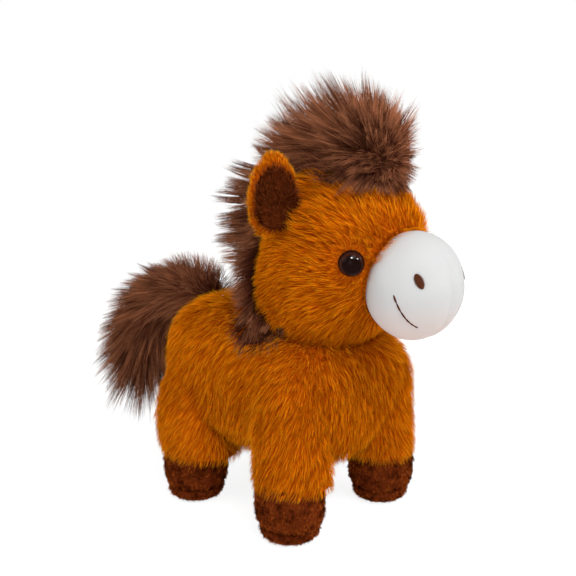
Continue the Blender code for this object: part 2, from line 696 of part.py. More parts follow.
def main():
    """Builds the whole toy."""
    clear_scene()
    plush = finish("orange_plush", ORANGE_PLUSH, CLOTH_ROUGHNESS)
    pile = finish("brown_long_pile", BROWN_PILE, CLOTH_ROUGHNESS)
    velboa = finish("white_short_nap", WHITE_VELBOA, CLOTH_ROUGHNESS)
    nap = finish("brown_short_nap", HOOF_BROWN, CLOTH_ROUGHNESS)
    lining_cloth = finish("ear_lining_nap", LINING_BROWN, CLOTH_ROUGHNESS)
    thread = finish("brown_thread", THREAD_BROWN, CLOTH_ROUGHNESS)
    bead = finish("eye_plastic", EYE_BLACK, EYE_ROUGHNESS)
    filling = finish("polyester_stuffing", STUFFING_WHITE, CLOTH_ROUGHNESS)
    clear = finish("washer_plastic", WASHER_CLEAR, PLASTIC_ROUGHNESS)

    torso = torso_form()
    head = head_form()
    muzzle = muzzle_form(head)
    torso_seam = cutter("torso_seam", form_mesh(torso, TORSO_FACETS, SEAM_GAP))
    torso_hollow = cutter("torso_hollow", form_mesh(torso, TORSO_CORE_FACETS, -PILE_WALL))
    head_seam = cutter("head_seam", form_mesh(head, HEAD_FACETS, SEAM_GAP))
    head_hollow = cutter("head_hollow", form_mesh(head, HEAD_CORE_FACETS, -PILE_WALL))
    muzzle_seam = cutter("muzzle_seam", form_mesh(muzzle, MUZZLE_FACETS, SEAM_GAP))
    muzzle_hollow = cutter("muzzle_hollow", form_mesh(muzzle, MUZZLE_CORE_FACETS, -MUZZLE_WALL))

    leg_x = TORSO_WIDTH / 2 - LEG_SIDE_INSET
    leg_y = TORSO_LENGTH / 2 - LEG_END_INSET
    leg_hollows = []
    for end, y_side in ENDS.items():
        for side, x_side in SIDES.items():
            leg_hollows.append(build_leg(f"{end}_{side}", x_side * leg_x, y_side * leg_y,
                                         torso_seam, head_seam, torso_hollow, plush, nap,
                                         filling))
    build_torso(torso, torso_hollow, (head_hollow, *leg_hollows), plush, filling)
    cover, stuffing = build_head(head, head_hollow, torso_seam, torso_hollow, muzzle_hollow, plush,
                                 filling)
    build_muzzle(muzzle, muzzle_hollow, head_seam, head_hollow, velboa, filling)
    build_nostrils(muzzle, muzzle_seam, thread)
    build_smile(muzzle, thread)
    build_eyes(head, cover, stuffing, bead, clear)
    build_ears(head, plush, lining_cloth)
    forelock = build_forelock(head, head_seam, pile)
    forelock_seam = cutter("forelock_seam", form_mesh(forelock, FORELOCK_FACETS, SEAM_GAP))
    build_mane(head, (head_seam, torso_seam, forelock_seam), pile)
    build_tail(torso, pile)
    stand_in_the_middle()


main()
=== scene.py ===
"""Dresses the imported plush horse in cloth, pile, stitching and moulded eyes.

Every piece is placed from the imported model's own boxes, joints and solids. The horse faces -Y, and
+X is its left side. The coat is real strands: each is a closed, tapered, three-sided hair that is
copied from one template, combed over the stuffed skins and drawn together into tufts.
"""

import json
import logging
import math
from collections.abc import Sequence
from dataclasses import dataclass, field, replace
from enum import Enum

import bmesh
import bpy
import numpy as np
from mathutils import Matrix, Vector, noise
from mathutils.bvhtree import BVHTree
from mathutils.kdtree import KDTree


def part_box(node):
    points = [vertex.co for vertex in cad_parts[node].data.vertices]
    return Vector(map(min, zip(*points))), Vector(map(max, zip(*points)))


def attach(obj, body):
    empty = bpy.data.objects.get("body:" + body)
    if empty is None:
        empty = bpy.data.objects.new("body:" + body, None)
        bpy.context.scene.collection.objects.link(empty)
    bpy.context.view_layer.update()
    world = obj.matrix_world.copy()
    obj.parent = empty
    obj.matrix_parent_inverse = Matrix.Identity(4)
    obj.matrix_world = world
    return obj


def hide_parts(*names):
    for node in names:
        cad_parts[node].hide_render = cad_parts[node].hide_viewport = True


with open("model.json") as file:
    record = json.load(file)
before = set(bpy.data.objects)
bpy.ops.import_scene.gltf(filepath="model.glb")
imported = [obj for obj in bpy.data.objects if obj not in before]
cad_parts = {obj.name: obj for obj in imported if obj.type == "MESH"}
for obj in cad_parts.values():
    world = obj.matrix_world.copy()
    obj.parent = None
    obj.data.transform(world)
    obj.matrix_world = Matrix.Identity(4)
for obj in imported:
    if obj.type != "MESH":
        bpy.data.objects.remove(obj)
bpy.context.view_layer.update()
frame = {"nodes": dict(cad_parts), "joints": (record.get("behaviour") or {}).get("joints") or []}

log = logging.getLogger("plush_horse")

Array = np.ndarray
Colour = tuple[float, float, float]

SIDES = {"left": 1, "right": -1}
CORNERS = ("front_left", "front_right", "rear_left", "rear_right")
DOWN = np.array((0.0, 0.0, -1.0))
FORWARDS = np.array((0.0, -1.0, 0.0))
WHITE: Colour = (1.0, 1.0, 1.0)
WELD = 1e-6
NOISE_SEED = 5
PILE_UV = "OFBake"
MIDDLE_TONE = 0.56
# Lower tone of the lock over the right shoulder: painted shade below the head.
LOCK_SHADOW_TONE = 0.52
LOCK_AREA = 0.0012
TONE_RANGE = (0.02, 0.98)


class Slot(Enum):
    """Material slots of the record, one for each kind of finish."""

    COAT = "orange_plush"
    LONG_PILE = "brown_long_pile"
    MUZZLE = "white_short_nap"
    HOOF = "brown_short_nap"
    LINING = "ear_lining_nap"
    THREAD = "brown_thread"
    EYE = "eye_plastic"


# Small vector helpers


def unit(vectors: Array) -> Array:
    """Scales each row to length one, and leaves rows of no length alone."""
    length = np.linalg.norm(vectors, axis=-1, keepdims=True)
    return vectors / np.maximum(length, 1e-12)


def across(vectors: Array, normals: Array) -> Array:
    """Part of each vector that lies in the surface, as a unit vector.

    Args:
        vectors: One vector per row.
        normals: The surface's unit normal for each row.

    Returns:
        Unit vectors in the surface.
    """
    return unit(vectors - normals * np.sum(vectors * normals, axis=1, keepdims=True))


def laid(vectors: Array, normals: Array) -> Array:
    """Part of each vector's direction that lies in the surface, at its own size.

    Args:
        vectors: One vector per row.
        normals: The surface's unit normal for each row.

    Returns:
        Vectors in the surface, short where the direction points out of it.
    """
    ways = unit(vectors)
    return ways - normals * np.sum(ways * normals, axis=1, keepdims=True)


def smooth_step(low: float, high: float, value: Array) -> Array:
    """Eases from 0 at low to 1 at high."""
    share = np.clip((value - low) / (high - low), 0.0, 1.0)
    return share * share * (3.0 - 2.0 * share)


def eased_up(least: float, low: float, high: float, value: Array) -> Array:
    """Eases from a least share at low to 1 at high."""
    return least + (1.0 - least) * smooth_step(low, high, value)


def joint_named(name: str) -> dict:
    """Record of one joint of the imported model."""
    return next(joint for joint in frame["joints"] if joint["name"] == name)


def vectors_of(items: bpy.types.bpy_prop_collection, name: str) -> Array:
    """Reads one vector from each item of a mesh.

    Args:
        items: Vertices or normals of the mesh.
        name: Property that holds the vector.

    Returns:
        One vector per row.
    """
    values = np.zeros(len(items) * 3, np.float32)
    items.foreach_get(name, values)
    return values.reshape(-1, 3)


def node_points(node: str) -> Array:
    """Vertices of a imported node, one per row."""
    return vectors_of(frame["nodes"][node].data.vertices, "co").astype(float)


# Finishes


class Shader:
    """Builds one node tree, for a material or a node group."""

    def __init__(self, tree: bpy.types.NodeTree) -> None:
        """Keeps the tree that the nodes go into."""
        self.tree = tree

    def node(self, kind: str, **settings: object) -> bpy.types.Node:
        """Adds a node and sets its properties, or its inputs where the name starts with in_.

        Args:
            kind: Node type without its ShaderNode prefix.
            **settings: Properties, or in_ and the input's name in small letters.

        Returns:
            The new node.
        """
        made = self.tree.nodes.new(kind if kind.startswith("Node") else "ShaderNode" + kind)
        for name, value in settings.items():
            if name.startswith("in_"):
                wanted = name[3:].replace("_", " ")
                socket = next(s for s in made.inputs if s.name.lower() == wanted and s.enabled)
                socket.default_value = value
            else:
                setattr(made, name, value)
        return made

    def link(self, start: bpy.types.NodeSocket, end: bpy.types.NodeSocket) -> None:
        """Joins an output to an input."""
        self.tree.links.new(start, end)

    def mix(self, factor: bpy.types.NodeSocket | float, a: object, b: object,
            blend: str = "MIX") -> bpy.types.NodeSocket:
        """Mixes two colours, each a socket or a plain colour.

        Args:
            factor: Socket or number that drives the mix.
            a: Colour at factor 0.
            b: Colour at factor 1.
            blend: Blend type.

        Returns:
            The mixed colour.
        """
        made = self.node("Mix", data_type="RGBA", blend_type=blend)
        for value, socket in ((factor, made.inputs[0]), (a, made.inputs[6]), (b, made.inputs[7])):
            if isinstance(value, bpy.types.NodeSocket):
                self.link(value, socket)
            elif isinstance(value, float):
                socket.default_value = value
            else:
                socket.default_value = (*value, 1.0)
        return made.outputs[2]

    def ramp(self, value: bpy.types.NodeSocket, low: float, high: float, bottom: float = 0.0,
             top: float = 1.0) -> bpy.types.NodeSocket:
        """Eases a value from one range to another.

        Args:
            value: Socket to read.
            low: Value that gives bottom.
            high: Value that gives top.
            bottom: Lowest result.
            top: Highest result.

        Returns:
            The eased value.
        """
        made = self.node("MapRange", interpolation_type="SMOOTHSTEP", in_from_min=low,
                         in_from_max=high, in_to_min=bottom, in_to_max=top)
        self.link(value, made.inputs["Value"])
        return made.outputs["Result"]


def new_group(name: str, inputs: Sequence[tuple[str, str, object]],
              outputs: Sequence[tuple[str, str]]) -> tuple[Shader, bpy.types.Node, bpy.types.Node]:
    """Starts a shader node group.

    Args:
        name: Name of the group.
        inputs: Name, socket type and default of each input.
        outputs: Name and socket type of each output.

    Returns:
        The group's shader builder, its input node and its output node.
    """
    tree = bpy.data.node_groups.new(name, "ShaderNodeTree")
    for label, kind, default in inputs:
        made = tree.interface.new_socket(label, in_out="INPUT", socket_type="NodeSocket" + kind)
        if default is not None:
            made.default_value = default
    for label, kind in outputs:
        tree.interface.new_socket(label, in_out="OUTPUT", socket_type="NodeSocket" + kind)
    shader = Shader(tree)
    return shader, shader.node("NodeGroupInput"), shader.node("NodeGroupOutput")


def hair_shade_group() -> bpy.types.NodeTree:
    """Colour along a hair, from its root to its tip, and from one tuft to the next. The dark root is
    painted shade deep in the pile, and the bright tip is painted light.

    Returns:
        The node group. Its UV input's first part is the hair's tone, and its second the way along it.
    """
    known = bpy.data.node_groups.get("hair_shade")
    if known:
        return known
    colours = [(label, "Color", (0, 0, 0, 1)) for label in ("Root", "Middle", "Tip", "Shaded")]
    shader, given, result = new_group("hair_shade", [("UV", "Vector", None), *colours],
                                      [("Color", "Color")])
    parts = shader.node("SeparateXYZ")
    shader.link(given.outputs["UV"], parts.inputs[0])
    # Root, middle and tip colours: painted shade at the root, painted light at the tip.
    lower = shader.mix(shader.ramp(parts.outputs["Y"], 0.0, 0.55), given.outputs["Root"],
                       given.outputs["Middle"])
    along = shader.mix(shader.ramp(parts.outputs["Y"], 0.4, 1.0), lower, given.outputs["Tip"])
    tone = shader.mix(shader.ramp(parts.outputs["X"], 0.0, 1.0), given.outputs["Shaded"], WHITE)
    shader.link(shader.mix(1.0, along, tone, "MULTIPLY"), result.inputs["Color"])
    return shader.tree


def nap_group() -> bpy.types.NodeTree:
    """Mottled colour and fine height of a short nap, a knit or loose fibre.

    Returns:
        The node group, which reads a position in metres.
    """
    known = bpy.data.node_groups.get("short_nap")
    if known:
        return known
    shader, given, result = new_group(
        "short_nap",
        [("Vector", "Vector", None), ("Base", "Color", (0.5, 0.5, 0.5, 1)),
         ("Deep", "Color", (0.3, 0.3, 0.3, 1)), ("Grain", "Float", 1500.0),
         ("Patch", "Float", 90.0), ("Mottle", "Float", 0.5)],
        [("Color", "Color"), ("Height", "Float")])
    grain = shader.node("TexNoise", in_detail=3.0, in_roughness=0.65)
    patch = shader.node("TexNoise", in_detail=2.0, in_roughness=0.5)
    for texture, scale in ((grain, "Grain"), (patch, "Patch")):
        shader.link(given.outputs["Vector"], texture.inputs["Vector"])
        shader.link(given.outputs[scale], texture.inputs["Scale"])
    both = shader.node("Math", operation="ADD")
    shader.link(shader.ramp(grain.outputs["Fac"], 0.3, 0.7, 0.0, 0.6), both.inputs[0])
    shader.link(shader.ramp(patch.outputs["Fac"], 0.3, 0.7, 0.0, 0.4), both.inputs[1])
    worn = shader.node("Math", operation="MULTIPLY")
    shader.link(both.outputs[0], worn.inputs[0])
    shader.link(given.outputs["Mottle"], worn.inputs[1])
    shader.link(shader.mix(worn.outputs[0], given.outputs["Base"], given.outputs["Deep"]),
                result.inputs["Color"])
    shader.link(grain.outputs["Fac"], result.inputs["Height"])
    return shader.tree


def start_material(name: str) -> tuple[bpy.types.Material, Shader, bpy.types.Node]:
    """Starts a material with a Principled shader.

    Args:
        name: Name of the material.

    Returns:
        The material, its shader builder and its Principled node.
    """
    material = bpy.data.materials.new(name)
    material.use_nodes = True
    return material, Shader(material.node_tree), material.node_tree.nodes["Principled BSDF"]


@dataclass(frozen=True)
class Finish:
    """Look of one kind of surface."""

    name: str

    def material(self) -> bpy.types.Material:
        """Finds the material, or makes it the first time."""
        return bpy.data.materials.get(self.name) or self.make()

    def make(self) -> bpy.types.Material:
        """Makes the material, which each kind of finish does in its own way."""
        raise NotImplementedError


@dataclass(frozen=True)
class PileFinish(Finish):
    """Finish of long or combed pile, shaded hair by hair."""

    root: Colour
    middle: Colour
    tip: Colour
    shaded: Colour
    roughness: float = 0.62
    specular: float = 0.0

    def make(self) -> bpy.types.Material:
        """Makes the material, coloured along each hair, with painted shade at the root and painted
        light at the tip.

        Returns:
            The material.
        """
        material, shader, surface = start_material(self.name)
        uv = shader.node("UVMap", uv_map=PILE_UV)
        shade = shader.node("Group", node_tree=hair_shade_group())
        shader.link(uv.outputs["UV"], shade.inputs["UV"])
        for label, colour in (("Root", self.root), ("Middle", self.middle), ("Tip", self.tip),
                              ("Shaded", self.shaded)):
            shade.inputs[label].default_value = (*colour, 1.0)
        shader.link(shade.outputs["Color"], surface.inputs["Base Color"])
        surface.inputs["Roughness"].default_value = self.roughness
        surface.inputs["Specular IOR Level"].default_value = self.specular
        return material


@dataclass(frozen=True)
class NapFinish(Finish):
    """Finish of cloth with a short nap, of backing cloth or of thread."""

    base: Colour
    deep: Colour
    grain: float
    patch: float = 90.0
    mottle: float = 0.5
    bump_depth: float = 0.0002
    bump_strength: float = 0.5
    roughness: float = 0.9
    specular: float = 0.0
    subsurface: float = 0.0
    # Warm colour painted low down as light bounced from the orange coat, if any.
    low: Colour | None = None
    painted_bounce_foot: float = 0.0
    painted_bounce_top: float = 1.0

    def make(self) -> bpy.types.Material:
        """Makes the material, mottled, and with painted warm bounce light low down where the finish has
        it.

        Returns:
            The material.
        """
        material, shader, surface = start_material(self.name)
        place = shader.node("TexCoord")
        nap = shader.node("Group", node_tree=nap_group())
        shader.link(place.outputs["Object"], nap.inputs["Vector"])
        for label, value in (("Base", (*self.base, 1.0)), ("Deep", (*self.deep, 1.0)),
                             ("Grain", self.grain), ("Patch", self.patch), ("Mottle", self.mottle)):
            nap.inputs[label].default_value = value
        bump = shader.node("Bump", in_strength=self.bump_strength, in_distance=self.bump_depth)
        shader.link(nap.outputs["Height"], bump.inputs["Height"])
        colour = nap.outputs["Color"]
        # Painted warm bounce light, strongest towards the bottom of the piece.
        if self.low:
            parts = shader.node("SeparateXYZ")
            shader.link(place.outputs["Object"], parts.inputs[0])
            colour = shader.mix(shader.ramp(parts.outputs["Z"], self.painted_bounce_foot, self.painted_bounce_top, 1.0, 0.0),
                                colour, self.low)
        shader.link(colour, surface.inputs["Base Color"])
        shader.link(bump.outputs["Normal"], surface.inputs["Normal"])
        surface.inputs["Roughness"].default_value = self.roughness
        surface.inputs["Specular IOR Level"].default_value = self.specular
        surface.inputs["Subsurface Weight"].default_value = self.subsurface
        surface.inputs["Subsurface Radius"].default_value = (0.004, 0.003, 0.0025)
        surface.inputs["Subsurface Scale"].default_value = 1.0
        return material


@dataclass(frozen=True)
class BeadFinish(Finish):
    """Finish of the moulded eye: a black pupil in a dark red-brown ring, under a clear gloss."""

    name: str = "safety_eye_gloss"
    pupil: Colour = (0.006, 0.0010, 0.0005)
    iris: Colour = (0.030, 0.0062, 0.0026)
    rim: Colour = (0.006, 0.003, 0.0025)

    def make(self) -> bpy.types.Material:
        """Makes the material, which reads the piece's own ring attribute.

        Returns:
            The material.
        """
        material, shader, surface = start_material(self.name)
        ring = shader.node("Attribute", attribute_name="ring")
        value = ring.outputs["Fac"]
        inner = shader.mix(shader.ramp(value, 0.66, 0.80), self.pupil, self.iris)
        whole = shader.mix(shader.ramp(value, 0.88, 0.95), inner, self.rim)
        shader.link(whole, surface.inputs["Base Color"])
        surface.inputs["Roughness"].default_value = 0.06
        surface.inputs["Specular IOR Level"].default_value = 0.045
        return material


@dataclass(frozen=True)
class WasherFinish(Finish):
    """Finish of the natural moulded washers behind the eyes."""

    name: str = "washer_plastic_moulded"
    base: Colour = (0.75, 0.75, 0.72)
    cloudy: Colour = (0.66, 0.66, 0.62)

    def make(self) -> bpy.types.Material:
        """Makes the material, with a faint cloudiness.

        Returns:
            The material.
        """
        material, shader, surface = start_material(self.name)
        place = shader.node("TexCoord")
        cloud = shader.node("TexNoise", in_scale=400.0, in_detail=2.0)
        shader.link(place.outputs["Object"], cloud.inputs["Vector"])
        shader.link(shader.mix(cloud.outputs["Fac"], self.base, self.cloudy),
                    surface.inputs["Base Color"])
        surface.inputs["Roughness"].default_value = 0.4
        return material


# Each pile's dark root colour is painted shade deep in the pile, and its bright tip colour is painted
# light.
COAT = PileFinish("orange_plush_pile", root=(0.30, 0.044, 0.0008), middle=(0.90, 0.208, 0.0020),
                  tip=(1.0, 0.46, 0.0110), shaded=(0.42, 0.29, 0.22))
SHAG = PileFinish("brown_shaggy_pile", root=(0.034, 0.008, 0.0032), middle=(0.165, 0.046, 0.020),
                  tip=(0.440, 0.164, 0.076), shaded=(0.13, 0.10, 0.09), specular=0.01)
HOOF_NAP = PileFinish("hoof_nap_hairs", root=(0.070, 0.011, 0.002), middle=(0.230, 0.040, 0.0050),
                      tip=(0.560, 0.140, 0.026), shaded=(0.11, 0.09, 0.08))
LINING_NAP = PileFinish("ear_lining_hairs", root=(0.020, 0.004, 0.0010),
                        middle=(0.110, 0.020, 0.0045), tip=(0.300, 0.080, 0.022),
                        shaded=(0.11, 0.09, 0.08))
COAT_BACKING = NapFinish("orange_knit_backing", base=(0.40, 0.070, 0.002), deep=(0.20, 0.032, 0.001),
                         grain=900.0)
SHAG_BACKING = NapFinish("brown_knit_backing", base=(0.040, 0.012, 0.006),
                         deep=(0.018, 0.005, 0.003), grain=900.0)
MUZZLE_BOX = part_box("muzzle_cover")
# The muzzle's low colour is painted warm light bounced from the orange coat.
MUZZLE_NAP = NapFinish("white_velour", base=(0.440, 0.440, 0.440), deep=(0.414, 0.409, 0.406),
                       grain=2600.0, patch=60.0, mottle=0.6, bump_depth=0.00006,
                       bump_strength=0.35, roughness=0.85, specular=0.05, subsurface=0.05,
                       low=(0.575, 0.474, 0.442), painted_bounce_foot=MUZZLE_BOX[0].z,
                       painted_bounce_top=(MUZZLE_BOX[0].z + MUZZLE_BOX[1].z) / 2)
HOOF_CLOTH = NapFinish("brown_velour", base=(0.115, 0.020, 0.004), deep=(0.055, 0.009, 0.002),
                       grain=1300.0, mottle=0.8, bump_depth=0.0004)
LINING_CLOTH = NapFinish("ear_lining_velour", base=(0.075, 0.014, 0.003), deep=(0.034, 0.007, 0.002),
                         grain=1300.0, mottle=0.8, bump_depth=0.0003)
THREAD = NapFinish("brown_embroidery_thread", base=(0.085, 0.022, 0.008), deep=(0.034, 0.009, 0.004),
                   grain=3000.0, patch=500.0, mottle=0.7, bump_depth=0.0001, roughness=0.7,
                   specular=0.02)


# Making and finishing pieces


def piece_from(name: str, mesh: bmesh.types.BMesh, material: bpy.types.Material) -> bpy.types.Object:
    """Turns a bmesh into a smooth-shaded piece and frees the bmesh.

    Args:
        name: Name of the piece.
        mesh: The bmesh, in world metres.
        material: Its material.

    Returns:
        The piece, at the origin.
    """
    data = bpy.data.meshes.new(name)
    mesh.to_mesh(data)
    mesh.free()
    data.shade_smooth()
    data.materials.append(material)
    piece = bpy.data.objects.new(name, data)
    bpy.context.scene.collection.objects.link(piece)
    return piece


def dress(piece: bpy.types.Object, body: str, slot: Slot, *stands_for: str,
          fill: float | None = None) -> None:
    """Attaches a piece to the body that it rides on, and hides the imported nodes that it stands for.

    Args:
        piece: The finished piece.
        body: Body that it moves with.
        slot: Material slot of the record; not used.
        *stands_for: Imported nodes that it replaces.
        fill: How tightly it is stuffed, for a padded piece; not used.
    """
    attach(piece, body)
    if stands_for:
        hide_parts(*stands_for)
    log.info("%s: %d faces, rides on %s", piece.name, len(piece.data.polygons), body)


def grown_copy(node: str, outwards: float) -> bmesh.types.BMesh:
    """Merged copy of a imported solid, swollen along its normals.

    Args:
        node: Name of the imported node.
        outwards: How far each point moves out.

    Returns:
        The swollen copy.
    """
    mesh = bmesh.new()
    mesh.from_mesh(frame["nodes"][node].data)
    bmesh.ops.remove_doubles(mesh, verts=mesh.verts, dist=WELD)
    mesh.normal_update()
    moves = [vertex.normal * outwards for vertex in mesh.verts]
    for vertex, move in zip(mesh.verts, moves):
        vertex.co += move
    return mesh


def stuffed_skin(solids: Sequence[bmesh.types.BMesh], voxel: float,
                 smoothing: int) -> bmesh.types.BMesh:
    """One closed skin round several overlapping solids, eased as stuffing eases cloth.

    Args:
        solids: Closed bmeshes, which are freed.
        voxel: Edge of the remesh's cells.
        smoothing: How many times the skin is smoothed.

    Returns:
        The skin.
    """
    together = bmesh.new()
    for solid in solids:
        part = bpy.data.meshes.new("part")
        solid.to_mesh(part)
        solid.free()
        together.from_mesh(part)
        bpy.data.meshes.remove(part)
    data = bpy.data.meshes.new("skin_source")
    together.to_mesh(data)
    together.free()
    source = bpy.data.objects.new("skin_source", data)
    bpy.context.scene.collection.objects.link(source)
    remesh = source.modifiers.new("Remesh", "REMESH")
    remesh.mode = "VOXEL"
    remesh.voxel_size = voxel
    evaluated = source.evaluated_get(bpy.context.evaluated_depsgraph_get())
    skin = bmesh.new()
    skin.from_mesh(evaluated.to_mesh())
    evaluated.to_mesh_clear()
    bpy.data.objects.remove(source)
    bpy.data.meshes.remove(data)
    for _ in range(smoothing):
        bmesh.ops.smooth_vert(skin, verts=skin.verts, factor=0.5, use_axis_x=True, use_axis_y=True,
                              use_axis_z=True)
    bmesh.ops.recalc_face_normals(skin, faces=skin.faces)
    return skin


@dataclass(frozen=True)
class Swell:
    """A place where a skin bulges with extra stuffing."""

    place: Vector
    reach: float
    rise: float
    sags: bool = False

    def push(self, vertex: bmesh.types.BMVert) -> Vector:
        """How far it moves a point: out along the normal, or straight down where it sags."""
        share = math.exp(-((vertex.co - self.place).length / self.reach)**2)
        return (Vector((0.0, 0.0, -1.0)) if self.sags else vertex.normal) * self.rise * share


def swell(mesh: bmesh.types.BMesh, swells: Sequence[Swell]) -> None:
    """Pushes a skin out round each swell.

    Args:
        mesh: The skin.
        swells: Where it bulges.
    """
    mesh.normal_update()
    moves = [sum((bulge.push(vertex) for bulge in swells), Vector()) for vertex in mesh.verts]
    for vertex, move in zip(mesh.verts, moves):
        vertex.co += move


def in_box(node: str, x: float, y: float, z: float) -> Vector:
    """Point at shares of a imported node's box."""
    low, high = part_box(node)
    return Vector([a + (b - a) * share for a, b, share in zip(low, high, (x, y, z))])


def keep_above(mesh: bmesh.types.BMesh, height: float) -> None:
    """Cuts a skin at a level, keeps what lies above it and closes the cut.

    Args:
        mesh: The skin.
        height: The level.
    """
    cut = bmesh.ops.bisect_plane(mesh, geom=mesh.verts[:] + mesh.edges[:] + mesh.faces[:],
                                 plane_co=(0, 0, height), plane_no=(0, 0, 1), clear_inner=True)
    rim = [item for item in cut["geom_cut"] if isinstance(item, bmesh.types.BMEdge)]
    bmesh.ops.holes_fill(mesh, edges=rim)
    bmesh.ops.recalc_face_normals(mesh, faces=mesh.faces)


def turned(profile: Sequence[tuple[float, float]], base: Vector, axis: Vector,
           steps: int) -> bmesh.types.BMesh:
    """Solid turned about an axis.

    Args:
        profile: Radius and height of each point, from the axis back to the axis.
        base: Point of the axis at height 0.
        axis: Unit vector of the axis.
        steps: Steps of the full turn.

    Returns:
        The closed solid.
    """
    mesh = bmesh.new()
    side = axis.orthogonal().normalized()
    points = [mesh.verts.new(base + side * radius + axis * height) for radius, height in profile]
    edges = [mesh.edges.new(pair) for pair in zip(points, points[1:])]
    bmesh.ops.spin(mesh, geom=points + edges, cent=base, axis=axis, angle=math.tau, steps=steps,
                   use_merge=True)
    bmesh.ops.remove_doubles(mesh, verts=mesh.verts, dist=WELD * 10)
    bmesh.ops.recalc_face_normals(mesh, faces=mesh.faces)
    return mesh


# Pile


@dataclass
class Roots:
    """Places where hairs are sewn in, with the way that each is combed."""

    places: Array
    normals: Array
    comb: Array
    length: Array
    shade: Array

    def kept(self, mask: Array) -> "Roots":
        """Only the hairs that a mask keeps."""
        return Roots(self.places[mask], self.normals[mask], self.comb[mask], self.length[mask],
                     self.shade[mask])

    def count(self) -> int:
        """How many hairs there are."""
        return len(self.places)

    def outside(self, surfaces: Sequence[tuple["Field", float]]) -> "Roots":
        """Only the hairs that no surface hides.

        Args:
            surfaces: The surfaces, each with the distance at which it hides a root.

        Returns:
            The hairs that are left.
        """
        seen = self
        for surface, margin in surfaces:
            seen = seen.kept(~surface.hides(seen.places, margin))
        return seen


class Field:
    """A surface that hairs can be sewn to."""

    def __init__(self, data: bpy.types.Mesh) -> None:
        """Reads the triangles of a mesh.

        Args:
            data: The mesh.
        """
        data.calc_loop_triangles()
        points = vectors_of(data.vertices, "co")
        corners = np.zeros(len(data.loop_triangles) * 3, np.int32)
        data.loop_triangles.foreach_get("vertices", corners)
        corners = corners.reshape(-1, 3)
        self.points = points.astype(float)[corners]
        self.normals = vectors_of(data.vertex_normals, "vector").astype(float)[corners]
        sides = self.points[:, 1:] - self.points[:, :1]
        self.areas = np.linalg.norm(np.cross(sides[:, 0], sides[:, 1]), axis=1) / 2
        self.tree = BVHTree.FromPolygons([tuple(p) for p in points],
                                         [tuple(int(i) for i in c) for c in corners])

    @staticmethod
    def round_form(mesh: bmesh.types.BMesh) -> "Field":
        """Surface of a form that no piece is made of.

        Args:
            mesh: The form's bmesh, which is freed.

        Returns:
            The form's surface.
        """
        data = bpy.data.meshes.new("form")
        mesh.to_mesh(data)
        mesh.free()
        form = Field(data)
        bpy.data.meshes.remove(data)
        return form

    def sown(self, density: float, rng: np.random.Generator, sink: float = 0.0003) -> Roots:
        """Spreads roots evenly over the surface.

        Args:
            density: Hairs per square metre.
            rng: Seeded random numbers.
            sink: How deep the roots sit below the surface.

        Returns:
            The roots, not yet combed.
        """
        total = self.areas.sum()
        count = max(int(total * density), 1)
        steps = (np.arange(count) + rng.random(count)) / count * total
        chosen = np.clip(np.searchsorted(np.cumsum(self.areas), steps), 0, len(self.areas) - 1)
        a, b = np.sqrt(rng.random(count)), rng.random(count)
        shares = np.stack((1 - a, a * (1 - b), a * b), axis=1)[:, :, None]
        normals = unit((self.normals[chosen] * shares).sum(axis=1))
        places = (self.points[chosen] * shares).sum(axis=1) - normals * sink
        return Roots(places, normals, np.tile(DOWN, (count, 1)), np.ones(count), np.zeros(count))

    def hides(self, places: Array, margin: float) -> Array:
        """Which places lie inside this surface, or closer to it than a margin.

        Args:
            places: One place per row.
            margin: Distance outside the surface that still counts as hidden. With a margin, a
                place several margins away is never hidden.

        Returns:
            True for each hidden place.
        """
        farthest = margin * 5.0 if margin > 0.0 else math.inf
        hidden = np.zeros(len(places), bool)
        for index, place in enumerate(places):
            spot, normal, _, distance = self.tree.find_nearest(Vector(place))
            hidden[index] = (Vector(place) - spot).dot(normal) < margin and distance < farthest
        return hidden

    def lifted(self, places: Array, clearance: float) -> Array:
        """Moves the places that are too near this surface, or inside it, out from it.

        Args:
            places: One place per row.
            clearance: Least distance outside the surface.

        Returns:
            The places, all of them clear of the surface.
        """
        result = places.copy()
        for index, place in enumerate(places):
            spot, normal, _, _ = self.tree.find_nearest(Vector(place))
            height = (Vector(place) - spot).dot(normal)
            if height < clearance:
                result[index] = np.array(Vector(place) + normal * (clearance - height))
        return result

    def snapped(self, places: Array, sink: float) -> tuple[Array, Array]:
        """Moves places onto this surface.

        Args:
            places: One place per row.
            sink: How deep below the surface they end.

        Returns:
            The moved places, and the surface's normal at each.
        """
        spots, normals = np.zeros_like(places), np.zeros_like(places)
        for index, place in enumerate(places):
            spot, normal, _, _ = self.tree.find_nearest(Vector(place))
            spots[index], normals[index] = spot - normal * sink, normal
        return spots, normals


@dataclass(frozen=True)
class Tuft:
    """One size of tuft: hairs near a leader are drawn to it, most of all at their tips."""

    spacing: float
    pull: float
    curve: float = 1.5
    stray: float = 0.0
    tone: float = 0.0


@dataclass(frozen=True)
class PileStyle:
    """How one kind of pile is made and combed. Pile that fills a form has no length of its own."""

    width: float
    rings: int
    tufts: tuple[Tuft, ...]
    density: float = 0.0
    length: float = 0.0
    rise: float = 0.0
    settle: float = 0.0
    droop: float = 0.0
    tangle: float = 0.1
    uneven: float = 0.15
    tone_spread: float = 0.16
    taper: float = 0.6


def leaders_of(places: Array, spacing: float, density: float,
               rng: np.random.Generator) -> tuple[Array, Array]:
    """Chooses the leading hair of each tuft, and the leader that each hair follows.

    Args:
        places: Root of each hair.
        spacing: Distance between leaders.
        density: Hairs per square metre.
        rng: Seeded random numbers.

    Returns:
        Index of each leader, and for each hair the number of its leader.
    """
    count = len(places)
    wanted = min(max(int(count / max(density * spacing**2, 1.0)), 1), count)
    chosen = np.sort(rng.choice(count, wanted, replace=False))
    tree = KDTree(wanted)
    for number, index in enumerate(chosen):
        tree.insert(Vector(places[index]), number)
    tree.balance()
    follows = np.array([tree.find(Vector(place))[1] for place in places])
    return chosen, follows


